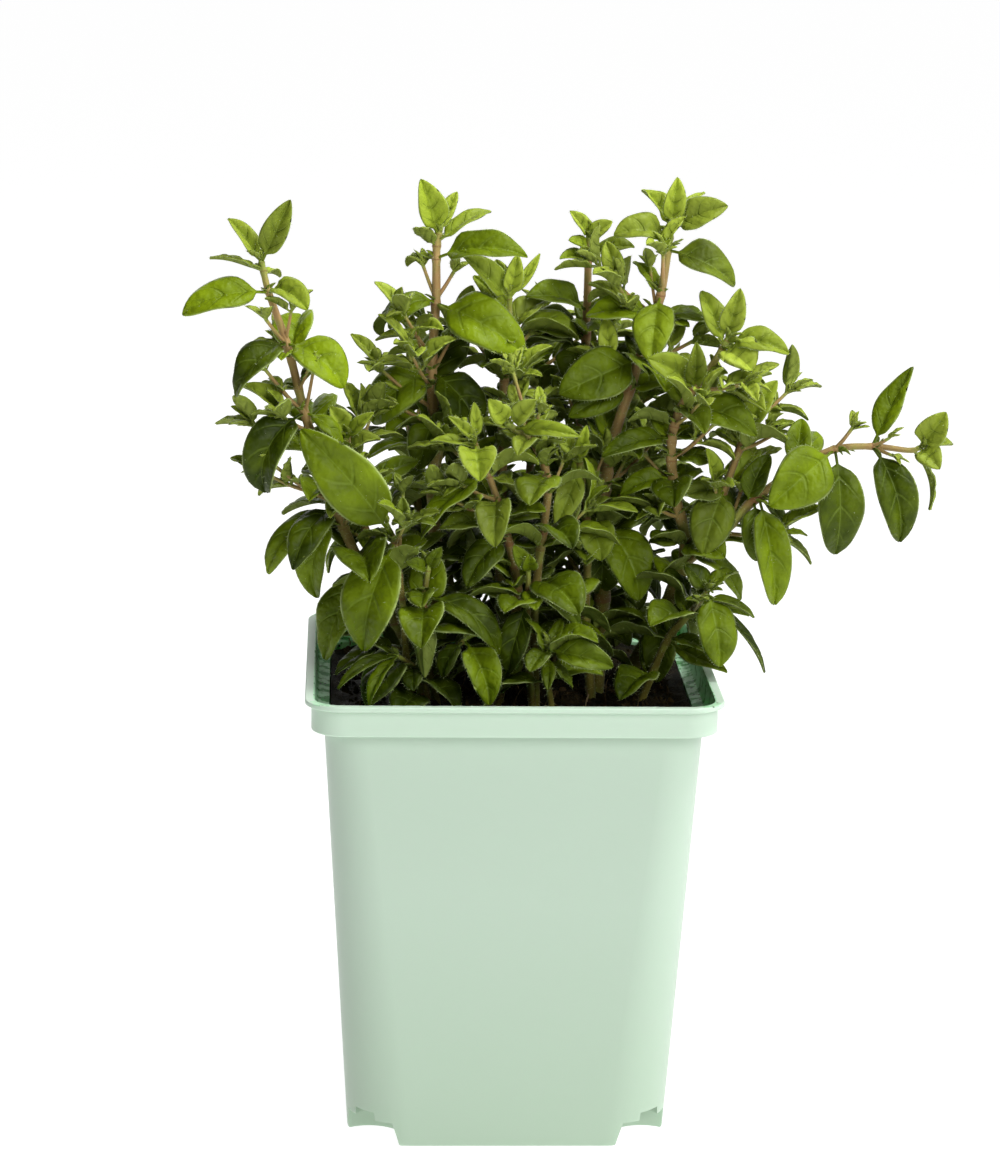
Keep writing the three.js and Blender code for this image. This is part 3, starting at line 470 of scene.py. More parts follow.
# Water from the last watering: clear round drops that cling to the inside above the compost.
WATER_IOR = 1.333
DROP_RADIUS = 0.5
DROP_FLATNESS = 0.55
DROPS_PER_SQUARE_MM = 0.018
DROP_SIZES = (0.4, 1.2)


def water():
    material, tree = new_material("water_drops")
    shader = add(tree, "ShaderNodeBsdfPrincipled", {
        "Base Color": (1, 1, 1, 1), "Roughness": 0.03, "IOR": WATER_IOR, "Transmission Weight": 1.0,
    })
    add(tree, "ShaderNodeOutputMaterial", {0: shader.outputs[0]})
    return material


def drops_tree():
    """Flattened drops on the faces of the second material that lie above a level."""
    tree, given = geometry_tree("drops", ("Level", "Drop radius", "Drops per area"))
    wall = given["Geometry"]
    place = add(tree, "GeometryNodeInputPosition").outputs[0]
    z = add(tree, "ShaderNodeSeparateXYZ", {0: place}).outputs["Z"]
    slot = add(tree, "GeometryNodeInputMaterialIndex").outputs[0]
    wet = where_all(tree, (z, given["Level"]), (slot, 0.5))
    scattered = add(tree, "GeometryNodeDistributePointsOnFaces", {
        "Mesh": wall, "Selection": wet, "Density": given["Drops per area"], "Seed": 2,
    })
    ball = add(tree, "GeometryNodeMeshIcoSphere", {"Radius": given["Drop radius"], "Subdivisions": 2})
    drop = add(tree, "GeometryNodeTransform", {
        0: ball.outputs["Mesh"], "Scale": (1, 1, DROP_FLATNESS),
    })
    drop = add(tree, "GeometryNodeSetShadeSmooth", {0: drop.outputs[0]}).outputs[0]
    size = add(tree, "FunctionNodeRandomValue", {2: DROP_SIZES[0], 3: DROP_SIZES[1], "Seed": 3},
               data_type="FLOAT").outputs[1]
    drops = add(tree, "GeometryNodeInstanceOnPoints", {
        "Points": scattered.outputs["Points"], "Instance": drop,
        "Rotation": scattered.outputs["Rotation"], "Scale": size,
    }).outputs[0]
    drops = add(tree, "GeometryNodeRealizeInstances", {0: drops}).outputs[0]
    drops = add(tree, "GeometryNodeSetMaterial", {"Geometry": drops, "Material": water()}).outputs[0]
    everything = add(tree, "GeometryNodeJoinGeometry", {0: [drops, wall]}).outputs[0]
    add(tree, "NodeGroupOutput", {0: everything})
    return tree


grow_on(pot, drops_tree(), {
    "Level": SHOULDER_Z * MM, "Drop radius": DROP_RADIUS * MM,
    "Drops per area": DROPS_PER_SQUARE_MM / MM**2,
})
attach(pot, "root")
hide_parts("pot")


# ==== Compost ====
# The peat and bark fibre compost that fills the pot to just below its ledge: near black while it
# is wet, crumbly on top and heaped a little against the wall, with loose crumbs, pale root fibres
# and bits of bark lying on it.
SOIL_LEVEL = 117.1
SOIL_GAP = 0.3
SOIL_RINGS = 56
SOIL_SIDE_STEPS = 40
SOIL_SEED = 7
SOIL_INSET = WALL + SOIL_GAP
HEAPED_BY = 1.6
HEAPED_WITHIN = 8.0
RAISED_BY = 0.2
MOUND_WIDTH, MOUND_HEIGHT = 22, 1.6
LUMP_WIDTH, LUMP_HEIGHT = 6, 1.1
CRUMB_WIDTH, CRUMB_HEIGHT = 1.7, 0.9
CRUST = 3


def soil_height(x, y):
    """Height of the crumbly top: low mounds, lumps and crumbs, in millimetres."""
    place = Vector((x, y, SOIL_SEED))
    mounds = noise.noise(place / MOUND_WIDTH) * MOUND_HEIGHT
    lumps = noise.fractal(place / LUMP_WIDTH, 0.9, 2.1, 3) * LUMP_HEIGHT
    crumbs = abs(noise.noise(place / CRUMB_WIDTH)) * CRUMB_HEIGHT
    from_wall = SHOULDER_HALF - SOIL_INSET - max(abs(x), abs(y))
    heaped = HEAPED_BY * max(0.0, 1 - from_wall / HEAPED_WITHIN) ** 1.5
    return SOIL_LEVEL + RAISED_BY + mounds + lumps + crumbs + heaped


def compost_block():
    """The block with its fine top, closed down the walls and under the floor."""
    half, corner = (size - SOIL_INSET for size in body_size(SOIL_LEVEL))
    rings = [body_ring(FLOOR, SOIL_INSET, FLOOR + SOIL_GAP, SOIL_SIDE_STEPS),
             body_ring(SOIL_LEVEL - CRUST, SOIL_INSET, None, SOIL_SIDE_STEPS)]
    for ring in range(SOIL_RINGS):
        share = 1 - ring / SOIL_RINGS
        flat = square_ring(half * share, corner * share, 0, SOIL_SIDE_STEPS)
        rings.append([(x, y, soil_height(x, y)) for x, y, _ in flat])
    return mesh_object("peat_compost", *loft(rings))


compost = compost_block()
pocket_room = WALL + SOIL_GAP
cleared = pocket_bodies("pocket_room", pocket_room, -OVERRUN, POCKET_TOP + pocket_room, POCKET_RADII)
combine(compost, cleared, "DIFFERENCE")
smooth(compost, POT_SHARP_ANGLE + 20, weighted=False)


# Wet peat: the fibres hold water, so it is dark and dull with small damp glints.
PEAT_DARK = "#100E05"
PEAT_BROWN = "#30260F"
PEAT_LUMPS = 4.2
FIBRE_GRAIN = 0.5
FIBRE_RELIEF = 0.5
DAMP_ROUGHNESS, DRY_ROUGHNESS = 0.6, 1.0
PEAT_GLOSS = 0.12


def peat(name, dark, brown, share_from, share_to):
    material, tree = new_material(name)
    place = add(tree, "ShaderNodeTexCoord").outputs["Object"]
    lump = add(tree, "ShaderNodeTexNoise", {
        "Vector": place, "Scale": 1 / (PEAT_LUMPS * MM), "Detail": 5.0, "Roughness": 0.7,
    }).outputs[0]
    share = add(tree, "ShaderNodeMapRange", {0: lump, 1: share_from, 2: share_to}).outputs[0]
    tint = painted(tree, linear(dark), (share, brown))
    grain = add(tree, "ShaderNodeTexNoise", {
        "Vector": place, "Scale": 1 / (FIBRE_GRAIN * MM), "Detail": 3.0,
    }).outputs[0]
    damp = add(tree, "ShaderNodeMapRange", {
        0: grain, 1: 0.35, 2: 0.7, 3: DAMP_ROUGHNESS, 4: DRY_ROUGHNESS,
    }).outputs[0]
    bump = add(tree, "ShaderNodeBump", {
        "Height": grain, "Strength": 0.8, "Distance": FIBRE_RELIEF * MM,
    })
    shader = add(tree, "ShaderNodeBsdfPrincipled", {
        "Base Color": tint, "Roughness": damp, "Normal": bump.outputs[0],
        "Specular IOR Level": PEAT_GLOSS,
    })
    add(tree, "ShaderNodeOutputMaterial", {0: shader.outputs[0]})
    return material


# Root fibres and straw that have dried on top: dull, pale and thin.
FIBRE_PALE = "#8C7A5A"
FIBRE_DULL = "#4A3A22"
LITTER_BELOW = 4
LITTER_FROM_WALL = 6
LOOKS_UP = 0.3
CRUMB_RADIUS, CRUMBS_PER_SQUARE_MM = 0.95, 0.2
CRUMB_SIZES = ((0.25, 0.25, 0.25), (1.3, 1.1, 1.0))
BARK_RADIUS, BARK_PER_SQUARE_MM = 2.4, 0.012
BARK_SIZES = ((0.5, 0.3, 0.12), (1.4, 0.6, 0.3))
FIBRE_LENGTH, FIBRES_PER_SQUARE_MM = 9, 0.012
FIBRE_SIZES = (0.4, 1.2)
FIBRE_ROUND = 0.018
# A fibre one unit long, before it is sized.
FIBRE_BEND = {
    "Start": (-0.5, 0, 0), "Start Handle": (-0.25, 0.22, 0.08),
    "End Handle": (0.2, -0.2, 0.1), "End": (0.5, 0.05, 0),
}


def strew(tree, points, shape, material, scale, seed):
    """Shapes turned and sized at random on points, as real faces in their material."""
    turned = add(tree, "FunctionNodeRandomValue", {
        0: (0, 0, 0), 1: (math.tau,) * 3, "Seed": seed,
    }, data_type="FLOAT_VECTOR").outputs[0]
    strewn = add(tree, "GeometryNodeInstanceOnPoints", {
        "Points": points, "Instance": shape, "Rotation": turned, "Scale": scale,
    }).outputs[0]
    strewn = add(tree, "GeometryNodeRealizeInstances", {0: strewn}).outputs[0]
    return add(tree, "GeometryNodeSetMaterial", {"Geometry": strewn, "Material": material}).outputs[0]


def top_litter_tree():
    """Crumbs, bits of bark and root fibres on the faces that look up from above a level."""
    tree, given = geometry_tree("top_litter", (
        "Level", "Reach", "Crumb radius", "Crumbs per area", "Bark radius", "Bark per area",
        "Fibre length", "Fibres per area",
    ))
    block = given["Geometry"]
    place = add(tree, "GeometryNodeInputPosition").outputs[0]
    x, y, z = add(tree, "ShaderNodeSeparateXYZ", {0: place}).outputs
    upright = add(tree, "GeometryNodeInputNormal").outputs[0]
    upright = add(tree, "ShaderNodeSeparateXYZ", {0: upright}).outputs["Z"]
    x, y = (add(tree, "ShaderNodeMath", {0: way}, operation="ABSOLUTE").outputs[0] for way in (x, y))
    farthest = add(tree, "ShaderNodeMath", {0: x, 1: y}, operation="MAXIMUM").outputs[0]
    top = where_all(tree, (z, given["Level"]), (upright, LOOKS_UP), (given["Reach"], farthest))

    def scattered(density, seed):
        return add(tree, "GeometryNodeDistributePointsOnFaces", {
            "Mesh": block, "Selection": top, "Density": given[density], "Seed": seed,
        }).outputs["Points"]

    def uneven(sizes, seed):
        low, high = sizes
        return add(tree, "FunctionNodeRandomValue", {0: low, 1: high, "Seed": seed},
                   data_type="FLOAT_VECTOR").outputs[0]

    crumb = add(tree, "GeometryNodeMeshIcoSphere", {"Radius": given["Crumb radius"], "Subdivisions": 1})
    crumbs = strew(tree, scattered("Crumbs per area", 1), crumb.outputs["Mesh"],
                   peat("peat_crumbs", PEAT_DARK, PEAT_BROWN, 0.35, 0.6),
                   uneven(CRUMB_SIZES, 2), 3)
    bit = add(tree, "GeometryNodeMeshIcoSphere", {"Radius": given["Bark radius"], "Subdivisions": 1})
    bark = strew(tree, scattered("Bark per area", 4), bit.outputs["Mesh"],
                 peat("bark_bits", PEAT_BROWN, FIBRE_DULL, 0.3, 0.7),
                 uneven(BARK_SIZES, 5), 6)
    strand = add(tree, "GeometryNodeCurvePrimitiveBezierSegment",
                 {"Resolution": 7, **FIBRE_BEND}).outputs[0]
    around = add(tree, "GeometryNodeCurvePrimitiveCircle", {"Resolution": 3, "Radius": FIBRE_ROUND})
    strand = add(tree, "GeometryNodeCurveToMesh", {0: strand, 1: around.outputs[0]}).outputs[0]
    span = add(tree, "FunctionNodeRandomValue", {2: FIBRE_SIZES[0], 3: FIBRE_SIZES[1], "Seed": 7},
               data_type="FLOAT").outputs[1]
    span = add(tree, "ShaderNodeMath", {0: span, 1: given["Fibre length"]},
               operation="MULTIPLY").outputs[0]
    fibres = strew(tree, scattered("Fibres per area", 8), strand,
                   peat("root_fibres", FIBRE_DULL, FIBRE_PALE, 0.35, 0.65), span, 9)
    everything = add(tree, "GeometryNodeJoinGeometry", {0: [crumbs, bark, fibres, block]}).outputs[0]
    add(tree, "NodeGroupOutput", {0: everything})
    return tree


compost.data.materials.append(peat("peat_compost_wet", PEAT_DARK, PEAT_BROWN, 0.42, 0.75))
grow_on(compost, top_litter_tree(), {
    "Level": (SOIL_LEVEL - LITTER_BELOW) * MM, "Reach": (SHOULDER_HALF - LITTER_FROM_WALL) * MM,
    "Crumb radius": CRUMB_RADIUS * MM, "Crumbs per area": CRUMBS_PER_SQUARE_MM / MM**2,
    "Bark radius": BARK_RADIUS * MM, "Bark per area": BARK_PER_SQUARE_MM / MM**2,
    "Fibre length": FIBRE_LENGTH * MM, "Fibres per area": FIBRES_PER_SQUARE_MM / MM**2,
})
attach(compost, "root")
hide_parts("compost")


# ==== Stems: where they grow ====
# Twenty-three square stems stand in the compost, and the heavy one on the right has two branches.
# Leaves sit on them in crossed pairs, with short leafy side shoots above the pairs. Each leaf
# turns a little until it clears what has already grown, as a leaf grows into the light.

# radii: at the stem's foot and at its end, in mm.
# path: the stem's course from the compost up, or from the stem that it branches from.
# leaves: [place on the stem 0-1, azimuth, rise, length, width, arch, face], in mm and degrees.
# Azimuth 0 points to +X and 90 to +Y, and face tips the upper side towards the front.
# shoots: [place, azimuth, rise, length, leaf length].
# pairs: [from, to, how many, first turn, length at from, length at to], placed by rule, with a
# shoot at every side_every-th of them.
# tip: leaf length of the young growth on the end, where the leaves above don't give it.
STEMS = [
    {
        "name": "stem_left_spray", "radii": [1.7, 0.8],
        "path": [[-23, -9, 118], [-30, -14, 137.8], [-41, -18, 156.8], [-50, -20, 178.8],
                 [-56, -20, 197.8], [-61, -19, 216.8], [-66, -17, 230.8], [-68, -16, 238.8]],
        "leaves": [
            [1, 340, 65, 19, 8.5, 10, 60], [1, 160, 50, 15, 7, 10, 50],
            [0.96, 170, 15, 15, 6, 10, 0], [0.95, 60, -10, 9, 5, 10, 0],
            [0.86, 190, -10, 25, 12, 40, 35], [0.86, 325, -15, 15, 10, 95, 30],
            [0.72, 335, -30, 22, 15, 75, 25], [0.72, 210, -40, 24, 12, 110, 30],
            [0.58, 205, -60, 30, 13, 110, 25], [0.58, 345, -45, 17, 8, 90, 20],
            [0.39, 195, -40, 29, 10, 80, 25], [0.39, 230, -50, 25, 11, 85, 30],
            [0.38, 155, -75, 27, 10, 75, 20], [0.28, 195, -55, 28, 13, 50, 25],
        ],
        "shoots": [
            [0.73, 305, 70, 8, 9], [0.72, 210, 45, 9, 8], [0.58, 200, 45, 16, 8],
            [0.58, 295, 65, 13, 8], [0.4, 200, 30, 21, 8],
        ],
    },
    {
        "name": "stem_left_inner", "radii": [1.3, 0.7],
        "path": [[-17, -4, 118], [-30, -8, 141.8], [-41, -12, 168.8], [-45, -14, 186.8],
                 [-45, -14, 191.8]],
        "leaves": [
            [0.95, 215, 60, 11, 8, 15, 50], [0.95, 325, 45, 12, 5, 30, 50],
            [0.77, 335, 25, 11, 8, 30, 40], [0.77, 150, 55, 14, 7, 20, 20],
            [0.59, 335, 30, 9, 9, 60, 40], [0.64, 160, 5, 15, 10, 40, 30],
            [0.48, 60, -80, 24, 9, 80, 10], [0.47, 150, -50, 19, 9, 60, 10],
        ],
    },
    {
        "name": "stem_left_arch", "radii": [1.1, 0.8],
        "path": [[-27, -16, 118], [-29, -22, 135.8], [-30, -26, 149.8], [-32, -28, 164.8],
                 [-34, -27, 169.8]],
        "leaves": [[0.82, 190, 50, 40, 17, 35, 85], [0.77, 225, -65, 33, 18, 60, 15]],
        "shoots": [[0.65, 75, 75, 18, 8]],
    },
    {
        "name": "stem_front_left", "radii": [1.2, 0.7],
        "path": [[-20, -17, 118], [-24, -22, 136.8], [-24, -26, 149.8], [-23, -27, 158.8]],
        "leaves": [
            [0.96, 215, 25, 8, 5, 20, 40], [0.96, 330, 60, 8, 4.5, 20, 60],
            [0.96, 100, 45, 7, 4, 20, 30], [0.72, 265, -5, 11, 9.5, 20, 0],
            [0.62, 280, -75, 20, 7, -40, -20], [0.67, 350, -35, 29, 10, 90, 30],
        ],
    },
    {
        "name": "stem_front_low", "radii": [1, 0.6],
        "path": [[-14, -21, 118], [-18, -24, 131.8], [-13, -28, 138.8]],
        "leaves": [
            [0.99, 300, -45, 21, 11, 40, 10], [0.97, 200, -55, 12, 8, 50, 10],
            [0.91, 20, -20, 13, 7, 40, 10],
        ],
    },
    {
        "name": "stem_low_left", "radii": [1, 0.6],
        "path": [[-24, -23, 118], [-26, -22, 128.8], [-31, -26, 133.8]],
        "leaves": [
            [1, 210, -20, 21, 5, 60, 20], [1, 230, -30, 18, 5, 60, 10],
            [0.18, 245, -10, 16, 12, 40, 20], [0.98, 160, 15, 14, 7, 40, 10],
        ],
    },
    {
        "name": "stem_tall_left", "radii": [2, 0.9],
        "pairs": [0.2, 0.42, 2, 20, 20, 17],
        "path": [[-20, 3, 118], [-20, 2, 142.8], [-21, 4, 170.8], [-21, 5, 190.8], [-22, 5, 204.8],
                 [-21, 5, 225.8], [-21, 4, 240.8], [-20, 4, 246.8]],
        "leaves": [
            [0.91, 215, 70, 17, 10, 10, 50], [0.93, 40, 60, 13, 6, 5, 30],
            [0.86, 225, 35, 11, 6.5, 10, -30], [0.88, 20, 30, 18, 8, 15, 20],
            [0.82, 345, 5, 27, 11, 55, 45], [0.82, 135, -15, 12, 7, 40, 0],
            [0.71, 200, -25, 19, 8, 125, 40], [0.71, 340, -25, 30, 17, 55, 45],
            [0.67, 160, -15, 22, 11, 150, 30], [0.58, 200, -35, 24, 17, 70, 40],
            [0.58, 335, -45, 23, 14, 80, 30], [0.45, 245, -50, 17, 11, 60, 20],
            [0.45, 25, -55, 22, 13, 50, 20], [0.34, 165, -45, 21, 12, 60, 20],
            [0.29, 30, -55, 23, 12, 60, 10],
        ],
        "shoots": [
            [0.72, 0, 55, 8, 7], [0.72, 160, 65, 9, 6], [0.58, 205, 65, 11, 11],
            [0.58, 340, 60, 12, 11], [0.44, 220, 20, 13, 9],
        ],
    },
    {
        "name": "stem_mid_left", "radii": [1.5, 0.7],
        "pairs": [0.15, 0.35, 2, 60, 18, 17],
        "path": [[-3, -12, 118], [1, -16, 141.8], [1, -19, 153.8], [-3, -20, 170.8],
                 [-7, -21, 182.8], [-11, -22, 191.8]],
        "leaves": [
            [1, 205, 45, 11, 4, 15, 50], [1, 290, 80, 11, 5, 10, 60],
            [0.98, 275, -35, 13, 13, 25, 15], [0.97, 190, 10, 13, 6, 20, 30],
            [0.8, 195, -40, 26, 11, 45, 30], [0.79, 20, -40, 13, 8, 50, 20],
            [0.6, 195, -5, 18, 10, 25, 40], [0.59, 25, -5, 14, 9, 40, 10],
            [0.53, 215, -40, 19, 11, 60, 20], [0.51, 25, -40, 16, 9, 60, 10],
        ],
    },
    {
        "name": "stem_mid_front", "radii": [1.4, 0.8],
        "path": [[7, -14, 118], [6, -18, 141.8], [7, -20, 158.8], [9, -21, 178.8], [6, -21, 189.8],
                 [-2, -21, 196.8]],
        "leaves": [
            [0.99, 210, 50, 10, 7.5, 15, 60], [0.99, 330, 70, 11, 7.5, 15, 60],
            [0.96, 335, 0, 19, 6.5, 30, 60], [0.96, 150, 0, 13, 6, 30, 30],
            [0.69, 280, 45, 12, 6, 40, 30], [0.65, 250, -15, 16, 14, 35, 30],
        ],
        "shoots": [[0.85, 300, 65, 9, 8], [0.64, 170, 70, 29, 9]],
    },
    {
        "name": "stem_mid_back", "radii": [1.7, 0.8],
        "pairs": [0.2, 0.62, 3, 10, 21, 18],
        "path": [[0, 8, 118], [-2, 10, 152.8], [-2, 9, 181.8], [-2, 7, 201.8], [-1, 6, 215.8],
                 [-1, 5, 226.8]],
        "leaves": [
            [0.99, 195, 45, 18, 10, 15, 50], [1, 305, 75, 13, 7, 10, 60], [1, 15, 55, 15, 4, 5, 60],
            [1, 125, 60, 12, 7, 10, 30], [0.87, 195, 45, 17, 8, 40, 50],
            [0.84, 25, 35, 14, 10, 40, 30], [0.63, 220, 65, 15, 6, 20, 60],
            [0.63, 340, 45, 12, 7, 20, 40], [0.48, 145, -55, 20, 12, 60, 10],
            [0.48, 15, -35, 22, 12, 50, 10], [0.35, 150, -25, 18, 12, 50, 10],
            [0.35, 30, -50, 25, 12, 50, 10],
        ],
        "shoots": [[0.64, 280, 45, 12, 8]],
    },
    {
        "name": "stem_front_small", "radii": [1.1, 0.6],
        "path": [[6, -20, 118], [4, -23, 137.8], [4, -25, 148.8], [4, -25, 157.8]],
        "leaves": [
            [0.78, 280, -15, 10, 7, 15, 0], [0.97, 205, 60, 9, 5, 15, 50],
            [0.97, 280, 50, 8, 5, 15, 50], [0.81, 340, -35, 19, 8.5, 70, 30],
            [0.68, 215, -70, 22, 10, 50, 20],
        ],
    },
    {
        "name": "stem_front_low_right", "radii": [1, 0.6],
        "path": [[11, -28, 118], [9, -32, 131.8], [9, -33, 137.8]],
        "leaves": [
            [0.95, 240, -20, 11, 8, 35, 10], [0.95, 345, -10, 19, 9, 45, 40],
            [0.7, 270, -35, 11, 4.5, 30, 10], [0.7, 315, -40, 11, 6, 40, 10],
            [0.95, 45, 55, 10, 5, 20, 30],
        ],
    },
    {
        "name": "stem_back_centre", "radii": [1.7, 0.8],
        "pairs": [0.25, 0.6, 3, 70, 20, 18],
        "path": [[16, 20, 118], [19, 20, 150.8], [20, 18, 185.8], [21, 16, 215.8], [21, 14, 236.8],
                 [21, 14, 242.8]],
        "leaves": [
            [0.97, 200, 55, 10, 6, 15, 40], [0.97, 330, 65, 9, 7, 20, 50],
            [0.8, 220, 40, 10, 8, 60, 30], [0.8, 340, 20, 14, 9, 30, 30],
            [0.78, 220, 15, 11, 6, 30, 40], [0.78, 30, 55, 11, 5, 20, 0],
            [0.65, 195, 15, 21, 12, 50, 45], [0.65, 20, -20, 12, 9, 50, 20],
            [0.59, 195, 15, 19, 13, 40, 35], [0.58, 230, -40, 14, 12, 60, 30],
            [0.47, 160, -15, 14, 12, 50, 20], [0.47, 25, -35, 18, 12, 50, 20],
        ],
    },
    {
        "name": "stem_centre_right", "radii": [1.4, 0.8],
        "pairs": [0.2, 0.5, 2, 40, 20, 18],
        "path": [[23, -4, 118], [21, -6, 138.8], [21, -8, 156.8], [20, -10, 173.8], [18, -12, 184.8]],
        "leaves": [
            [0.98, 230, -55, 19, 9, 30, 40], [1, 305, 75, 11, 5, 30, 50],
            [1, 155, 50, 10, 7, 20, 30], [0.66, 295, -45, 14, 12, 60, 20],
            [0.58, 205, 20, 11, 8, 60, 30], [0.56, 160, -45, 18, 10, 60, 10],
        ],
    },
    {
        "name": "stem_tall_right", "radii": [2.1, 0.9],
        "pairs": [0.14, 0.4, 3, 30, 20, 18],
        "path": [[25, 2, 118], [26, 0, 143.8], [25, -2, 160.8], [26, -2, 177.8], [28, -2, 189.8],
                 [34, -2, 209.8], [39, -3, 225.8], [41, -4, 238.8], [42, -4, 247.8]],
        "leaves": [
            [1, 300, 80, 14, 8, 10, 60], [1, 140, 45, 14, 8, 10, 30], [1, 35, 40, 15, 5, 10, 20],
            [1, 340, 25, 17, 11, 20, 55], [0.96, 195, 5, 17, 12, 55, 40],
            [0.91, 350, -25, 22, 13, 60, 40], [0.78, 255, -55, 21, 13, 40, 10],
            [0.78, 140, 45, 13, 7, 20, 20], [0.73, 190, 0, 20, 11, 60, 40],
            [0.72, 10, -15, 23, 11, 90, 20], [0.64, 200, -20, 26, 16, 35, 55],
            [0.64, 275, 20, 15, 12, 20, 20], [0.59, 205, -20, 21, 9, 35, 55],
            [0.58, 20, 10, 13, 10, 50, 30], [0.38, 155, 5, 14, 10, 50, 20],
            [0.29, 320, -55, 26, 15, 50, 30], [0.28, 260, -65, 31, 17, 70, 20],
        ],
        "shoots": [
            [0.8, 265, 50, 12, 12], [0.74, 130, 75, 11, 8], [0.73, 160, 35, 20, 12],
            [0.29, 260, 45, 12, 7], [0.34, 20, 55, 10, 9],
        ],
    },
    {
        "name": "stem_right", "radii": [2.4, 0.9],
        "pairs": [0.15, 0.35, 2, 100, 18, 16],
        "path": [[33, 8, 118], [42, 4, 136.8], [47, -2, 151.8], [48, -6, 161.8], [44, -10, 177.8],
                 [43, -12, 191.8], [46, -13, 201.8], [53, -14, 211.8], [57, -14, 218.8]],
        "leaves": [
            [1, 315, 75, 15, 8.5, 15, 50], [0.99, 345, -5, 18, 10, 35, 45],
            [0.97, 135, 60, 17, 9, 40, 30], [0.95, 305, -20, 12, 16, 40, 40],
            [0.79, 270, 60, 16, 7, 15, 60], [0.79, 210, 35, 18, 11, 40, 50],
            [0.82, 330, 20, 9, 7, 40, 40], [0.73, 340, -15, 24, 12, 60, 50],
            [0.71, 305, -10, 16, 10, 60, 30], [0.62, 200, -10, 22, 9, 55, 45],
            [0.62, 30, -5, 13, 10, 60, 20], [0.61, 140, 55, 11, 8, 30, 30],
            [0.52, 190, -15, 16, 8, 50, 40], [0.51, 35, 15, 11, 9, 60, 30],
            [0.43, 150, 5, 12, 8, 60, 30], [0.36, 150, 0, 12, 9, 60, 20],
            [0.36, 310, 0, 16, 13, 60, 45], [0.26, 30, -45, 12, 10, 60, 20],
            [0.2, 330, -70, 18, 9, 60, 10], [0.14, 260, -45, 21, 11, 50, 15],
        ],
        "shoots": [[0.62, 40, 20, 13, 9]],
    },
    {
        "name": "stem_right_upper", "branch_of": "stem_right", "radii": [1.5, 0.7],
        "path": [[48, -5, 159.8], [54, -8, 166.8], [58, -9, 176.8], [62, -9, 188.8],
                 [65, -8, 197.8], [67, -8, 201.8]],
        "leaves": [
            [0.61, 145, 40, 10, 8, 40, 30], [0.64, 130, 75, 18, 8, 20, 30],
            [0.69, 330, 60, 17, 9, 30, 50], [0.4, 210, 0, 13, 9, 40, 40],
            [0.39, 20, 45, 16, 9, 40, 30], [0.4, 235, -55, 21, 14, 60, 30],
        ],
        "shoots": [[0.57, 15, 35, 10, 10], [0.71, 15, 35, 14, 13], [0.69, 220, 70, 8, 9]],
    },
    {
        "name": "stem_right_spray", "branch_of": "stem_right", "radii": [1.6, 0.7],
        "pairs": [0.15, 0.45, 2, 100, 16, 17],
        "path": [[47, -3, 153.8], [59, -14, 167.8], [65, -15, 174.8], [76, -17, 183.8],
                 [86, -18, 189.8], [97, -18, 190.8], [107, -18, 189.8], [110, -18, 190.8]],
        "leaves": [
            [0.96, 330, 55, 13, 10, 15, 60], [0.96, 10, 5, 10, 8, 15, 40],
            [0.96, 325, -30, 10, 9, 20, 55], [0.88, 20, -70, 19, 5, 60, 0],
            [0.71, 15, 65, 24, 9, -25, 20], [0.71, 330, -70, 30, 12, 80, 40],
            [0.58, 205, -35, 25, 17, 30, 70], [0.58, 310, -75, 32, 14, 75, 40],
            [0.43, 70, 65, 15, 8, 30, 30], [0.43, 30, -40, 10, 8, 60, 30],
            [0.42, 335, -60, 10, 5, 40, 30], [0.31, 310, -75, 34, 11, 85, 25],
            [0.31, 25, -60, 20, 8, 60, 20], [0.29, 280, -60, 18, 10, 60, 30],
            [0.26, 25, 65, 16, 8, 40, 30],
        ],
        "shoots": [[0.58, 335, 50, 7, 6], [0.71, 325, 25, 5, 5], [0.72, 315, -20, 6, 5]],
    },
    {
        "name": "stem_right_low", "radii": [1.3, 0.7],
        "path": [[37, -8, 118], [43, -14, 135.8], [49, -18, 144.8], [53, -20, 150.8]],
        "leaves": [
            [1, 295, -65, 22, 13, 45, 15], [1, 20, 30, 11, 7, 40, 20],
            [0.98, 160, 50, 10, 10, 40, 20], [0.86, 345, -15, 16, 5, 50, 20],
            [0.97, 15, -25, 15, 4, -60, 20], [0.33, 335, -20, 19, 9, -30, 25],
            [0.33, 35, 50, 14, 8, 40, 20], [0.91, 350, -60, 28, 5, 40, 20],
        ],
        "shoots": [[0.7, 275, 25, 7, 6]],
    },
    {
        "name": "stem_back_left", "radii": [1.5, 0.7],
        "pairs": [0.25, 0.9, 5, 20, 21, 14], "side_every": 3, "tip": 9,
        "path": [[-18, 12, 118], [-23, 20, 150], [-27, 25, 185], [-28, 27, 212]],
    },
    {
        "name": "stem_back_mid", "radii": [1.5, 0.7],
        "pairs": [0.22, 0.9, 5, 60, 21, 14], "side_every": 3, "tip": 9,
        "path": [[4, 22, 118], [6, 30, 155], [8, 36, 190], [10, 38, 222]],
    },
    {
        "name": "stem_back_right", "radii": [1.5, 0.7],
        "pairs": [0.25, 0.9, 5, 100, 21, 14], "side_every": 3, "tip": 9,
        "path": [[24, 18, 118], [30, 28, 150], [36, 35, 182], [40, 37, 208]],
    },
    {
        "name": "stem_rear_left", "radii": [1.4, 0.7],
        "pairs": [0.3, 0.88, 4, 10, 20, 14], "tip": 9,
        "path": [[-8, 27, 118], [-15, 38.8, 140], [-20, 45, 165], [-22, 47.4, 188]],
    },
    {
        "name": "stem_rear_right", "radii": [1.4, 0.7],
        "pairs": [0.3, 0.88, 4, 50, 20, 14], "tip": 9,
        "path": [[14, 29, 118], [22, 41.9, 138], [27, 50.5, 160], [29, 54.4, 182]],
    },
    {
        "name": "stem_rear_mid", "radii": [1.4, 0.7],
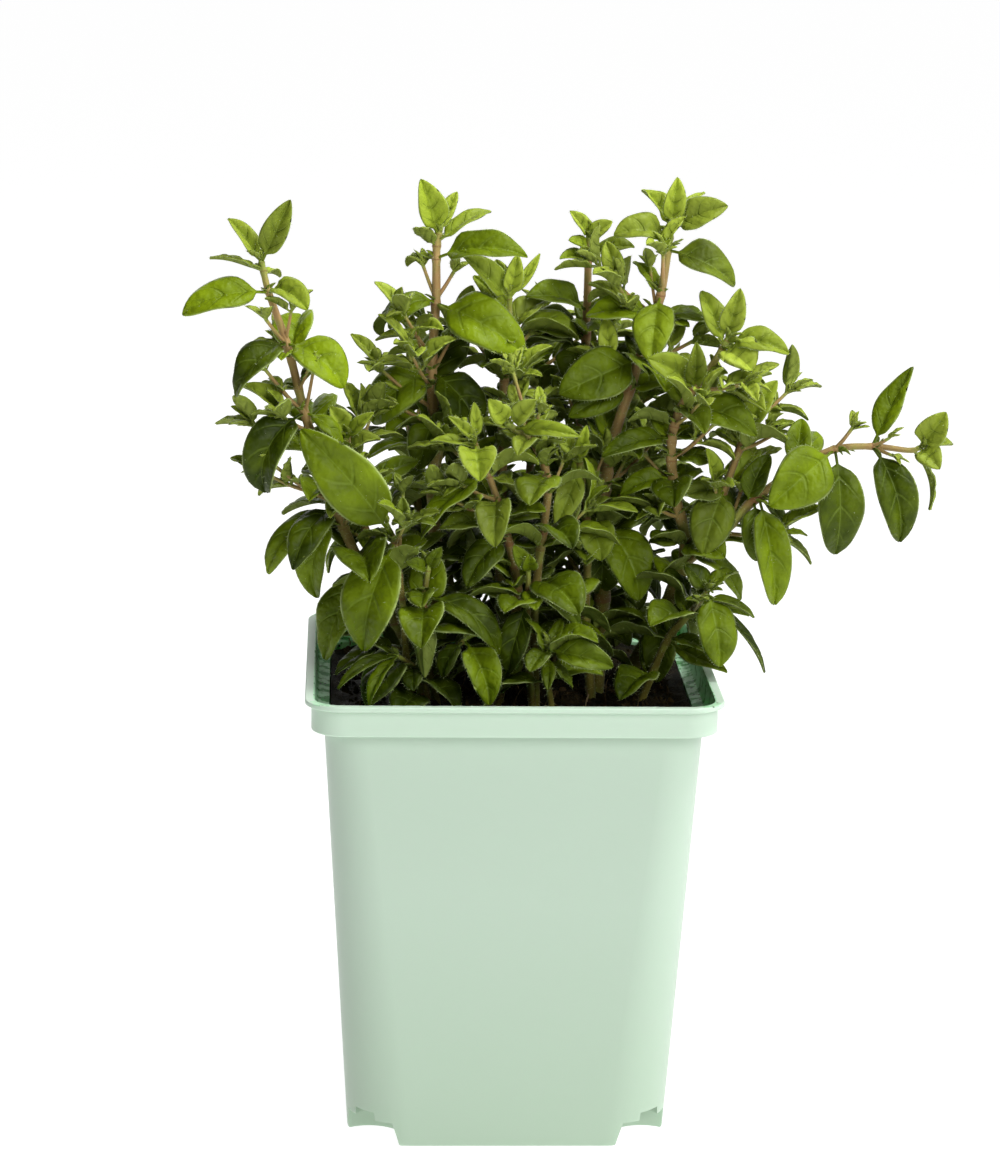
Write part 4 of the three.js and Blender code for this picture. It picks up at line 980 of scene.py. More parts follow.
        "pairs": [0.3, 0.88, 4, 80, 19, 14], "tip": 9,
        "path": [[3, 31, 118], [3, 41.9, 136], [1, 52.8, 150], [-2, 60.6, 168]],
    },
]
STEM_FOOT = 14.0
STEM_SIDES = 4
SHOOT_SIDES = 3
END_LENGTH = 1.4
SHOOT_RADII = (0.7, 0.5)
STALK = 0.16
STALK_HALF_WIDTH = 0.75
WIDEST = 0.4
BASE_POWER = 0.58
TIP_POWER = 0.8
RIB_THICKNESS = 1.0
SMALL_RIB_THICKNESS = 0.8
THICK_RIB_FROM = 13
NARROWEST = 0.1
SMALLEST_LEAF = 5.8
PLAIN_STATIONS = [(22, [STALK, 0.29, 0.54, 0.82]), (13, [STALK, 0.42, 0.78]), (0, [0.2, 0.55])]
CLEARANCE = 0.3
ABOVE_RIM = 1.2
ABOVE_SOIL = 2.0
FROM_WALL = 1.5
LAMINA_STARTS = (0.1, 3)
PAIR_SPREAD = 68
PAIR_ARCH = 45
TIP_ARCH = 15
TIP_PAIRS = ((40, 1, 0, 0.96), (22, 0.62, 90, 1))
SHOOT_TRIES = (1, 0.8, 0.6)
SHOOT_LIFT = 0.08
SHOOT_SPREAD = 45
SHOOT_LENGTHS = (8, 13)
SHOOT_LEAVES = (7.5, 9.5)
SHOOT_PAIR_FROM = 13
SHOOT_PAIR_AT = 0.55
SHOOT_PAIR_ARCH = 30
SHOOT_PAIR_SPREAD = 60
SPREAD_PLAY = 8
TURN_PLAY = 12
SHOOT_PLAY = 15
LENGTH_PLAY = (0.88, 1.1)
WIDTH_SHARES = (0.48, 0.58)
ARCH_PLAY = (0.6, 1.3)
LEAN_PLAY = 0.25
LEAN_ONWARD = 0.5
RULE_FOLDS = (0.1, 0.4)
LISTED_FOLDS = (0.1, 0.35)
LEAST_SLANT = 0.2
LEAST_LEAN = 0.05
UP = np.array([0.0, 0.0, 1.0])


def unit(vector):
    return vector / np.linalg.norm(vector)


def seeded_draw(seed):
    """Draws between two numbers, the same ones on every run."""
    state = seed

    def draw(low, high):
        nonlocal state
        state = (state * 1664525 + 1013904223) % 4294967296
        return low + (high - low) * state / 4294967296

    for _ in range(3):
        draw(0, 1)
    return draw


def path_length(path):
    return sum(np.linalg.norm(b - a) for a, b in zip(path, path[1:]))


def point_on(path, t):
    """A point at t, 0 to 1, on the smooth curve through a path's points."""
    last = len(path) - 1
    start = min(int(last * t), last - 1)
    u = last * t - start
    p1, p2 = path[start], path[start + 1]
    p0 = path[start - 1] if start > 0 else 2 * path[0] - path[1]
    p3 = path[start + 2] if start + 2 <= last else 2 * path[last] - path[last - 1]
    m1, m2 = (p2 - p0) / 2, (p3 - p1) / 2
    return p1 + m1 * u + (3 * (p2 - p1) - 2 * m1 - m2) * u**2 + (2 * (p1 - p2) + m1 + m2) * u**3


def direction_on(path, t):
    step = 1e-4
    return unit(point_on(path, min(t + step, 1)) - point_on(path, max(t - step, 0)))


def heading(azimuth, rise):
    a, e = math.radians(azimuth), math.radians(rise)
    return np.array([math.cos(a) * math.cos(e), math.sin(a) * math.cos(e), math.sin(e)])


def heading_angles(direction):
    azimuth = math.degrees(math.atan2(direction[1], direction[0]))
    return azimuth, math.degrees(math.asin(max(-1.0, min(1.0, direction[2]))))


def midrib(leaf, t):
    """Points, upper normals and the side direction of a leaf's midrib, from 0 at its root to 1."""
    t = np.asarray(t, float)[:, None]
    line = heading(leaf["azimuth"], leaf["rise"])
    normal = unit(leaf["up"] - line * (leaf["up"] @ line))
    side = np.cross(normal, line)
    turn = math.radians(leaf["arch"])
    angle = turn / 2 - turn * t
    reach = leaf["length"] / turn
    points = leaf["root"] + line * reach * (math.sin(turn / 2) - np.sin(angle)) \
        + normal * reach * (np.cos(angle) - math.cos(turn / 2))
    return points, normal * np.cos(angle) - line * np.sin(angle), side


def outline(t):
    """Share of the blade's full width at t: an oval widest at WIDEST, rounded into its stalk."""
    q = np.clip((np.asarray(t, float) - STALK) / (1 - STALK), 0, 1)
    return (q / WIDEST) ** BASE_POWER * ((1 - q) / (1 - WIDEST)) ** TIP_POWER


def stations(length):
    return next(steps for least, steps in PLAIN_STATIONS if length >= least)


def solid(points, faces):
    """A plain body for finding room: its corner points, triangles, edges and box."""
    sides = faces[:, [0, 1, 1, 2, 2, 0]].reshape(-1, 2)
    edges = sides[sides[:, 0] < sides[:, 1]]
    corner = points[faces[:, 0]]
    return {
        "points": points, "faces": faces, "edges": edges,
        "from": points[edges[:, 0]], "step": points[edges[:, 1]] - points[edges[:, 0]],
        "corner": corner, "one": points[faces[:, 1]] - corner, "two": points[faces[:, 2]] - corner,
        "low": points.min(0), "high": points.max(0),
    }


def ring_faces(rings, sides, start):
    """Triangles between stacked rings whose first point has the given number."""
    faces = []
    for level in range(rings - 1):
        for k in range(sides):
            a = start + level * sides + k
            b = start + level * sides + (k + 1) % sides
            faces += [(a, b, b + sides), (a, b + sides, a + sides)]
    return faces


def blade(leaf, start=0.0):
    """A leaf's plain body, thick at the midrib and sharp at its edges."""
    steps = stations(leaf["length"])
    rib = (RIB_THICKNESS if leaf["length"] >= THICK_RIB_FROM else SMALL_RIB_THICKNESS) / 2
    points, up, side = midrib(leaf, [start, *steps, 1])
    narrowest = np.full(len(steps), NARROWEST)
    narrowest[0] = STALK_HALF_WIDTH
    half = np.maximum(leaf["width"] / 2 * outline(steps), narrowest)[:, None]
    middle, up = points[1:-1], up[1:-1]
    edge = middle + up * half * leaf["fold"]
    rings = np.stack([edge + side * half, middle + up * rib, edge - side * half, middle - up * rib], 1)
    tip = 1 + 4 * len(steps)
    faces = ring_faces(len(steps), 4, 1)
    for k in range(4):
        following = (k + 1) % 4
        faces += [(0, 1 + following, 1 + k), (tip - 4 + k, tip - 4 + following, tip)]
    return solid(np.vstack([points[:1], rings.reshape(-1, 3), points[-1:]]), np.array(faces))


def tube_frame(path):
    """The level direction that a tube's sides are turned by."""
    across = np.cross(UP, unit(path[-1] - path[0]))
    return unit(across) if np.linalg.norm(across) > LEAST_SLANT else np.array([1.0, 0, 0])


def tube_ring(across, middle, along, radii):
    """Points round a tube, one for each radius."""
    a = unit(across - along * (across @ along))
    b = np.cross(along, a)
    angles = 2 * np.pi * np.arange(len(radii)) / len(radii)
    return middle + np.outer(radii * np.cos(angles), a) + np.outer(radii * np.sin(angles), b)


def tube(path, radii, sides, foot=0.0):
    """A stem's plain body, with a ring at each point of its path and a straight foot below."""
    across = tube_frame(path)
    rings = []
    if foot:
        rings.append(tube_ring(across, path[0] - UP * foot, UP, np.full(sides, radii[0])))
    last = len(path) - 1
    for i in range(last + 1):
        along = direction_on(path, i / last)
        middle = point_on(path, i / last) + along * (END_LENGTH if i == last else 0)
        radius = radii[0] + (radii[1] - radii[0]) * i / last
        rings.append(tube_ring(across, middle, along, np.full(sides, radius)))
    faces = ring_faces(len(rings), sides, 0)
    top = (len(rings) - 1) * sides
    for i in range(1, sides - 1):
        faces += [(0, i + 1, i), (top, top + i, top + i + 1)]
    return solid(np.vstack(rings), np.array(faces))


def pierces(edges_of, faces_of):
    """Whether an edge of the first bodies passes through a face of the second ones."""
    start, step = (np.vstack([body[key] for body in edges_of])[:, None] for key in ("from", "step"))
    corner, one, two = (np.vstack([body[key] for body in faces_of])[None]
                        for key in ("corner", "one", "two"))
    normal = np.cross(one, two)
    facing = (step * normal).sum(-1)
    sign = np.sign(facing)
    away = start - corner
    u = sign * (step * np.cross(away, two)).sum(-1)
    v = sign * (step * np.cross(one, away)).sum(-1)
    w = -sign * (away * normal).sum(-1)
    facing = np.abs(facing)
    inside = (u >= 0) & (v >= 0) & (u + v <= facing)
    return bool(((facing > 0) & inside & (w >= 0) & (w < facing)).any())


def clear_of_pot(body):
    """Whether a body stays out of the pot's wall and the compost."""
    corners = body["points"][body["faces"]]
    ends = body["points"][body["edges"]]
    points = np.vstack([body["points"], corners.mean(1), ends.mean(1)])
    inside = np.abs(points[:, :2]).max(1) < SHOULDER_HALF - WALL - FROM_WALL
    return bool(((points[:, 2] > POT_HEIGHT + ABOVE_RIM)
                 | ((points[:, 2] > SOIL_LEVEL + ABOVE_SOIL) & inside)).all())


# What a leaf tries in turn to find room: its turn, its rise and its size.
TURNS = [(0, 0, 1)]
for leaf_size in (1, 0.85, 0.7):
    for leaf_turn in ((12, 0), (-12, 0), (0, 12), (0, -12), (24, 8), (-24, 8),
                      (24, -12), (-24, -12), (0, 24), (0, -26), (40, 0), (-40, 0)):
        TURNS.append((*leaf_turn, leaf_size))

MOST_BODIES = 4000
ROOM_SPARE = 0.5
ROOM_LOW = np.array(cad_box[0]) / MM - ROOM_SPARE
ROOM_HIGH = np.array(cad_box[1]) / MM + ROOM_SPARE
grown = []
grown_low = np.full((MOST_BODIES, 3), np.inf)
grown_high = np.full((MOST_BODIES, 3), -np.inf)


def keep(stem, body, lamina=None, **facts):
    """Puts a body among those that have grown. A tube has no lamina."""
    grown_low[len(grown)] = body["low"]
    grown_high[len(grown)] = body["high"]
    grown.append({"stem": stem, "body": body, "lamina": lamina, **facts})


def has_room(stem, body, lamina=None):
    """Whether a body keeps within the plant's box and clear of all that has grown."""
    if not clear_of_pot(lamina or body):
        return False
    if (body["low"] < ROOM_LOW).any() or (body["high"] > ROOM_HIGH).any():
        return False
    near = ((grown_low <= body["high"] + CLEARANCE) & (grown_high >= body["low"] - CLEARANCE)).all(1)
    near = [grown[i] for i in np.flatnonzero(near)]
    others = [other["body"] for other in near if other["stem"] != stem]
    if others and (pierces([body], others) or pierces(others, [body])):
        return False
    own = [other["lamina"] for other in near if other["stem"] == stem and other["lamina"] and lamina]
    return not own or not (pierces([lamina], own) or pierces(own, [lamina]))


def add_leaf(stem, leaf):
    """Grows a leaf with the first turn that gives it room, or none where there is no room."""
    share, bare = LAMINA_STARTS
    for azimuth, rise, size in TURNS:
        turned = {
            **leaf,
            "azimuth": leaf["azimuth"] + azimuth, "rise": leaf["rise"] + rise,
            "length": leaf["length"] * size, "width": leaf["width"] * size,
        }
        body = blade(turned)
        lamina = blade(turned, min(share, bare / turned["length"]))
        if has_room(stem, body, lamina):
            keep(stem, body, lamina, leaf=turned)
            return


def axial(axis, spread, turn):
    """A direction at spread degrees from a stem's axis, turned round it by turn degrees."""
    across = np.cross(UP, axis)
    across = unit(across) if np.linalg.norm(across) > LEAST_LEAN else np.array([1.0, 0, 0])
    over = np.cross(axis, across)
    spread, turn = math.radians(spread), math.radians(turn)
    return axis * math.cos(spread) \
        + (across * math.cos(turn) + over * math.sin(turn)) * math.sin(spread)


def rule_leaf(path, t, spread, turn, length, draw, arch):
    """A leaf by rule on a curve at t, with small seeded differences."""
    def play(most):
        return draw(-most, most)

    axis = direction_on(path, t)
    azimuth, rise = heading_angles(axial(axis, spread + play(SPREAD_PLAY), turn + play(TURN_PLAY)))
    leaf = {"root": point_on(path, t), "azimuth": azimuth, "rise": rise, "axis": axis}
    leaf["sits_on"] = (id(path), t)
    leaf["length"] = length * draw(*LENGTH_PLAY)
    leaf["width"] = length * draw(*WIDTH_SHARES)
    leaf["arch"] = arch * draw(*ARCH_PLAY)
    lean = np.array([play(LEAN_PLAY), play(LEAN_PLAY), 0])
    leaf["up"] = unit(UP + axis * LEAN_ONWARD + lean)
    leaf["fold"] = draw(*RULE_FOLDS)
    return leaf


def add_tip(stem, path, size, draw):
    """An opening pair of leaves and, on a big end, a smaller pair across it."""
    start = draw(0, 180)
    for spread, share, turn, t in TIP_PAIRS:
        length = size * share
        if length < SMALLEST_LEAF:
            break
        for side in (0, 180):
            add_leaf(stem, rule_leaf(path, t, spread, start + turn + side, length, draw, TIP_ARCH))


def add_shoot(stem, base, azimuth, rise, length, size, draw):
    """A side shoot: shorter where there is no room, and left out where there is none at all."""
    direction = heading(azimuth, rise)
    for share in SHOOT_TRIES:
        reach = length * share
        lifted = base + direction * reach + UP * SHOOT_LIFT * length
        path = [base, base + direction * reach * 0.5, lifted]
        body = tube(path, SHOOT_RADII, SHOOT_SIDES)
        if has_room(stem, body):
            keep(stem, body, path=path, radii=SHOOT_RADII, foot=0.0)
            if reach > SHOOT_PAIR_FROM:
                turn = draw(0, 180)
                for side in (0, 180):
                    add_leaf(stem, rule_leaf(path, SHOOT_PAIR_AT, SHOOT_PAIR_SPREAD, turn + side,
                                             size, draw, SHOOT_PAIR_ARCH))
            add_tip(stem, path, size, draw)
            return


def add_pairs(stem, path, draw, pairs, side_every):
    """Leaf pairs by rule, each pair across the last, with a side shoot at every few of them."""
    start, end, count, turn, low_length, high_length = pairs
    for i in range(count):
        share = i / (count - 1)
        t = start + (end - start) * share
        length = low_length + (high_length - low_length) * share
        for side in (0, 180):
            across = turn + 90 * i + side
            add_leaf(stem, rule_leaf(path, t, PAIR_SPREAD, across, length, draw, PAIR_ARCH))
        if side_every and i % side_every == side_every - 1:
            across = turn + 90 * i + draw(-SHOOT_PLAY, SHOOT_PLAY)
            azimuth, rise = heading_angles(axial(direction_on(path, t), SHOOT_SPREAD, across))
            reach, size = draw(*SHOOT_LENGTHS), draw(*SHOOT_LEAVES)
            add_shoot(stem, point_on(path, t), azimuth, rise, reach, size, draw)


GROWTH_SEEDS = (101, 37)

for index, stem in enumerate(STEMS):
    stem["plant"] = stem.get("branch_of", stem["name"])
    stem["path"] = [np.array(point, float) for point in stem["path"]]
    stem["draw"] = seeded_draw(GROWTH_SEEDS[0] + GROWTH_SEEDS[1] * index)
    stem_foot = 0.0 if "branch_of" in stem else STEM_FOOT
    keep(stem["plant"], tube(stem["path"], stem["radii"], STEM_SIDES, stem_foot),
         path=stem["path"], radii=stem["radii"], foot=stem_foot)

for stem in STEMS:
    for place, azimuth, rise, length, width, arch, face in stem.get("leaves", []):
        tipped = math.radians(face)
        add_leaf(stem["plant"], {
            "root": point_on(stem["path"], place), "azimuth": azimuth, "rise": rise,
            "length": length, "width": width, "arch": arch,
            "axis": direction_on(stem["path"], place), "sits_on": (id(stem["path"]), place),
            "up": np.array([0, -math.sin(tipped), math.cos(tipped)]),
            "fold": stem["draw"](*LISTED_FOLDS),
        })

for stem in STEMS:
    for place, azimuth, rise, length, size in stem.get("shoots", []):
        base = point_on(stem["path"], place)
        add_shoot(stem["plant"], base, azimuth, rise, length, size, stem["draw"])

for stem in STEMS:
    if "pairs" in stem:
        add_pairs(stem["plant"], stem["path"], stem["draw"], stem["pairs"], stem.get("side_every"))
    if "tip" in stem:
        add_tip(stem["plant"], stem["path"], stem["tip"], stem["draw"])


# Between the main leaves each stem also has more pairs, most of them smaller, and leafy shoots,
# which fill the plant's middle as far as there is room.
FILL_SEEDS = (9001, 53)
FILL_SPACING = 8.2
FILL_FROM, FILL_TO = 0.08, 0.84
FILL_PLACES = (0.2, 0.8)
FILL_LEAF = (26, 16)
FILL_SIZES = (0.6, 1.15)
FILL_ARCH = 55
FILL_REACH = 62
FILL_TOP = 218
FILL_BROAD = 1.22
FILL_HANG = (108, 62)
HANG_PLAY = 24
FILL_SHOOTS_FROM = 162
LOW_SHOOTS = 0.2
FILL_SPREAD = 52
FILL_SHOOT_LENGTHS = (9, 26)
FILL_SHOOT_LOW, FILL_SHOOT_TAPER = 1.1, 0.6
FILL_SHOOT_LEAVES = (11, 17)


def fill_stem(stem, draw):
    """Broad leaf pairs up a stem, hanging where they sit low down, with shoots among them."""
    path = stem["path"]
    count = max(2, round(path_length(path) * (FILL_TO - FILL_FROM) / FILL_SPACING))
    turn = draw(0, 90)
    for i in range(count):
        t = FILL_FROM + (FILL_TO - FILL_FROM) * (i + draw(*FILL_PLACES)) / count
        x, _, z = point_on(path, t)
        if abs(x) > FILL_REACH or z > FILL_TOP:
            continue
        size = FILL_LEAF[0] + (FILL_LEAF[1] - FILL_LEAF[0]) * t
        for side in (0, 180):
            hang = FILL_HANG[0] + (FILL_HANG[1] - FILL_HANG[0]) * min(1, t / FILL_TO)
            hang += draw(-HANG_PLAY, HANG_PLAY)
            leaf = rule_leaf(path, t, hang, turn + 90 * i + side, size * draw(*FILL_SIZES), draw,
                             FILL_ARCH)
            leaf["width"] *= FILL_BROAD
            add_leaf(stem["plant"], leaf)
        if z < FILL_SHOOTS_FROM and draw(0, 1) > LOW_SHOOTS:
            continue
        direction = axial(direction_on(path, t), FILL_SPREAD, turn + 90 * i + 90 * draw(0, 4))
        azimuth, rise = heading_angles(direction)
        # The shoots get shorter up the stem.
        reach = draw(*FILL_SHOOT_LENGTHS) * (FILL_SHOOT_LOW - FILL_SHOOT_TAPER * t)
        size = draw(*FILL_SHOOT_LEAVES)
        add_shoot(stem["plant"], point_on(path, t), azimuth, rise, reach, size, draw)


for index, stem in enumerate(STEMS):
    fill_stem(stem, seeded_draw(FILL_SEEDS[0] + FILL_SEEDS[1] * index))


# ==== Leafy stems ====
# Each stem is one living piece: a square, finely haired stalk, green at the ends and rosy brown
# where it has ripened, the rosiness high up partly painted light, and oval leaves on short stalks.
# The leaves are thin, smooth above and paler below, with a sunken midrib, a few curved side veins
# and a pale hairy margin.
LEAF_STATIONS = {
    "large": [0, 0.08, 0.14, 0.17, 0.2, 0.25, 0.31, 0.37, 0.43, 0.49, 0.55, 0.61, 0.67, 0.73, 0.79,
              0.85, 0.91, 0.96, 0.985],
    "middle": [0, 0.1, 0.16, 0.2, 0.28, 0.4, 0.52, 0.64, 0.76, 0.88, 0.965],
    "small": [0, 0.15, 0.24, 0.42, 0.64, 0.86],
}
LARGE_LEAF = 13
MIDDLE_LEAF = 7.5
STALK_ROUND = 0.42
STALK_TAPER = 0.3
STALK_TO_BLADE = 0.12
MIDRIB_THICK = 0.3
MIDRIB_AT_ROOT, MIDRIB_TAPER = 1.05, 0.6
TIP_ROUNDNESS = 0.74
BASE_ROUNDNESS = 0.45
SLIMMER = 0.92
LEAST_FOLD = 0.22
SHARPER_FOLD = 1.6
EDGE_ROLLS = (0.15, 0.45)
EDGE_WAVES = (0.03, 0.14)
WAVES_PER_LEAF = (1.2, 2.4)
SIDEWAYS_BEND = 0.035
TWIST = 0.45
TIP_CURLS = (0.05, 0.4)
CURLED_FROM = 0.5
SIDE_VEINS = 4
VEIN_SLANT = 0.26
VEIN_CURVE = 1.25
PUCKERS = (0.3, 0.75)
GROOVE_DEPTH = 0.26
GROOVE_HALF_WIDTH = 0.45
LEAF_DOWN = 0.05
FRINGE_FORWARD = 0.4
YOUNG_SLIMMER = 0.24
YOUNG_FOLD = 0.4


def fine_outline(t):
    """The leaf's outline again, with its fuller base and rounder tip."""
    q = np.clip((t - STALK) / (1 - STALK), 0, 1)
    return SLIMMER * (q / WIDEST) ** BASE_ROUNDNESS * ((1 - q) / (1 - WIDEST)) ** TIP_ROUNDNESS


def leaf_kind(length):
    if length >= LARGE_LEAF:
        return "large"
    return "middle" if length >= MIDDLE_LEAF else "small"


def section(upper, lower):
    """A leaf's cross-section: how far across each point lies, and above or below the middle."""
    across = np.array([*upper, *lower])
    side = np.array([1.0] * len(upper) + [-1.0] * len(lower))
    return across, side * np.sqrt(1 - across**2), len(upper) - 1


LEAF_SECTIONS = {
    "large": section((1, 0.86, 0.6, 0.3, 0.11, 0, -0.11, -0.3, -0.6, -0.86, -1),
                     (-0.72, -0.25, 0, 0.25, 0.72)),
    "middle": section((1, 0.65, 0.18, 0, -0.18, -0.65, -1), (-0.5, 0, 0.5)),
    "small": section((1, 0.4, 0, -0.4, -1), (0,)),
}


def fine_leaf(leaf, draw):
    """A closed thin leaf round the same midrib: points, faces, places, finish, down and outward."""
    kind = leaf_kind(leaf["length"])
    t = np.array(LEAF_STATIONS[kind])
    section_across, section_above, far_edge = LEAF_SECTIONS[kind]
    around = len(section_across)
    across, above, spread = section_across[None], section_above[None], np.abs(section_across)[None]
    middle, up, side = midrib(leaf, [*t, 1])
    # The tip curls down, and the blade twists a little round its midrib.
    curl = np.clip(np.array([*t, 1]) - CURLED_FROM, 0, 1) ** 2 * leaf["length"] * draw(*TIP_CURLS)
    middle = middle - up * curl[:, None]
    tip, middle, up = middle[-1], middle[:-1], up[:-1]
    twist = (draw(-TWIST, TWIST) * t)[:, None]
    side, up = side * np.cos(twist) + up * np.sin(twist), up * np.cos(twist) - side * np.sin(twist)
    small = min(1.0, leaf["length"] / LARGE_LEAF)
    slimmest = STALK_ROUND * small * (1 - STALK_TAPER * t)
    youth = 1 - leaf["age"]
    width = leaf["width"] * (1 - YOUNG_SLIMMER * youth)
    half = np.maximum(width / 2 * fine_outline(t), slimmest)[:, None]
    t = t[:, None]
    opened = np.clip((t - STALK) / STALK_TO_BLADE, 0, 1)
    # The stalk is round; the blade is thickest along its midrib and thin at its edges.
    thick = STALK_ROUND * small * (1 - opened)
    thick = thick + MIDRIB_THICK * small * (MIDRIB_AT_ROOT - MIDRIB_TAPER * t) * opened
    # The halves rise steeply from the midrib and roll over towards their waved edges.
    sharpness = LEAST_FOLD + leaf["fold"] * SHARPER_FOLD + YOUNG_FOLD * youth
    fold = sharpness * spread**1.1 - draw(*EDGE_ROLLS) * spread**3
    phase = 2 * np.pi * (draw(*WAVES_PER_LEAF) * t + draw(0, 1))
    wave = np.sin(phase) * np.sign(across) * across**2
    groove = -GROOVE_DEPTH * small * np.exp(-((across * half) / (GROOVE_HALF_WIDTH * small)) ** 2)
    # The blade swells up between its sunken side veins.
    along = t - VEIN_SLANT * spread**VEIN_CURVE
    swell = (0.5 - 0.5 * np.cos(2 * np.pi * SIDE_VEINS * along)) * 4 * spread * (1 - spread)
    pucker = draw(*PUCKERS) * small * swell
    lift = (half * (fold + draw(*EDGE_WAVES) * wave) + groove + pucker) * opened + thick * above
    bend = leaf["length"] * draw(-SIDEWAYS_BEND, SIDEWAYS_BEND) * np.sin(np.pi * t)
    points = middle[:, None] + side[:, None] * (across * half + bend)[..., None] \
        + up[:, None] * lift[..., None]
    faces = [tuple(reversed(range(around)))]
    for level in range(len(t) - 1):
        low = level * around
        for k in range(around):
            j = (k + 1) % around
            faces.append((low + k, low + j, low + around + j, low + around + k))
    last = (len(t) - 1) * around
    faces += [(last + k, last + (k + 1) % around, last + around) for k in range(around)]
    place = np.stack(np.broadcast_arrays(t, 0.5 + across / 2), -1).reshape(-1, 2)
    under = np.broadcast_to(0.5 - above * 2, (len(t), around)).reshape(-1, 1).clip(0, 1)
    finish = np.hstack([np.full_like(under, leaf["tone_and_shade"]), np.full_like(under, leaf["age"]), under])
    margin = np.zeros((len(t), around, 1))
    margin[:, [0, far_edge]] = (t > STALK)[..., None]
    down = np.concatenate([margin, np.full_like(margin, LEAF_DOWN), np.zeros_like(margin)], -1)
    line = heading(leaf["azimuth"], leaf["rise"])
    outward = side[:, None] * across[..., None] + line * FRINGE_FORWARD
    # Each list ends with the leaf's tip.
    return (np.vstack([points.reshape(-1, 3), tip[None]]), faces,
            np.vstack([place, [[1, 0.5]]]),
            np.vstack([finish, [[leaf["tone_and_shade"], leaf["age"], 0.5]]]),
            np.vstack([down.reshape(-1, 3), [[1, 0, 0]]]),
            np.vstack([outward.reshape(-1, 3), line[None]]))


STALK_SPACING = 1.8
STALK_AROUND = {STEM_FOOT: 12, 0.0: 8}
SQUARENESS = 0.1
SHOOT_SLIMMER = 0.9
NODE_SWELLING = 0.22
NODE_LENGTH = 0.9
STALK_END = ((0.5, 0.85), (0.85, 0.55), (1.0, 0.2))
SHOOT_DOWN = 0.7


def fine_stalk(path, radii, foot, nodes):
    """A stem as a closed soft-edged square tube, swollen at the nodes where its leaves sit."""
    length = path_length(path)
    steps = max(4, round(length / STALK_SPACING))
    around = STALK_AROUND[foot]
    angle = 2 * np.pi * np.arange(around) / around
    square = (1 - SQUARENESS + SQUARENESS * np.cos(4 * angle)) * (1 if foot else SHOOT_SLIMMER)
    across = tube_frame(path)
    rings, places, finishes = [], [], []

    def add_ring(middle, along, radius, distance, swelling, share):
        rings.append(tube_ring(across, middle, along, radius * square))
        places.append(np.stack([np.arange(around) / around, np.full(around, distance / 10)], 1))
        finishes.append(np.tile([swelling, share, 0.0], (around, 1)))

    if foot:
        add_ring(path[0] - UP * foot, UP, radii[0], -foot, 0, 0)
    for i in range(steps + 1):
        t = i / steps
        swelling = max([math.exp(-((t - node) * length / NODE_LENGTH) ** 2) for node in nodes],
                       default=0)
        radius = (radii[0] + (radii[1] - radii[0]) * t) * (1 + NODE_SWELLING * swelling)
        add_ring(point_on(path, t), direction_on(path, t), radius, t * length, swelling, t)
    end = direction_on(path, 1)
    for beyond, narrow in STALK_END:
        add_ring(path[-1] + end * END_LENGTH * beyond, end, radii[1] * narrow, length, 0, 1)
    points, faces = loft([ring.tolist() for ring in rings])
    down = np.tile([0.0, 1.0 if foot else SHOOT_DOWN, 0.0], (len(points), 1))
    return (np.array(points), faces, np.vstack(places), np.vstack(finishes), down,
            np.zeros((len(points), 3)))


RIPE_LEAST, RIPE_DISTANCE = 0.1, 38
RIPE_AND_SHADED_BELOW, RIPE_AND_SHADED_FADE = 232, 75
RIPE_SIZE_FROM, RIPE_SIZE_OVER = 8, 16


def ripeness(leaf, path):
    """How ripe a leaf is, from 0 to 1: more so down its stem, low on the plant and when large. Low on
    the plant this is partly painted shade, as riper leaves are coloured a deeper green.
    """
    by_place = RIPE_LEAST + (1 - leaf["sits_on"][1]) * path_length(path) / RIPE_DISTANCE
    # Painted shade: low leaves are made riper, so deeper green, partly because less light falls there.
    by_height = (RIPE_AND_SHADED_BELOW - leaf["root"][2]) / RIPE_AND_SHADED_FADE
    by_size = (leaf["length"] - RIPE_SIZE_FROM) / RIPE_SIZE_OVER
    return min(1.0, max(by_place, by_size, by_height))


DARKEST_AT, LIGHT_FADE = 130, 100
BIG_FROM, BIG_OVER = 17, 9
BIG_DARKER = 0.16
LIT_PALER = 0.22
OWN_TONE = 0.42
MORE_OWN_IN_LIGHT = 0.36


def aged(leaf, age, draw):
    """The leaf with its age and its tone: its own, darker when it is big, painted paler high up as
    painted light and darker low down as painted shade.
    """
    # Painted light and shade: the tone rises with the leaf's height on the plant.
    light = np.clip((leaf["root"][2] - DARKEST_AT) / LIGHT_FADE, 0, 1)
    big = np.clip((leaf["length"] - BIG_FROM) / BIG_OVER, 0, 1)
    own = draw(0, 1)
    own_tone = (OWN_TONE + MORE_OWN_IN_LIGHT * light) * own * own * (3 - 2 * own)
    return {**leaf, "age": age, "tone_and_shade": LIT_PALER * light + own_tone - BIG_DARKER * big}


AXIL_SHARE = 0.75
LOW_AXIL_SHARE = 0.3
LOW_AXILS_BELOW = 160
AXIL_LENGTHS = (3.0, 6.5)
AXIL_MOST = 0.5
AXIL_SPREADS = (0.35, 0.7)
AXIL_PLAY = (0.8, 1.1)
AXIL_WIDTHS = (0.42, 0.55)
AXIL_ARCH = 20
AXIL_FOLD = 0.35
AXIL_LIFT = 0.9
AXIL_LEAN = 0.4


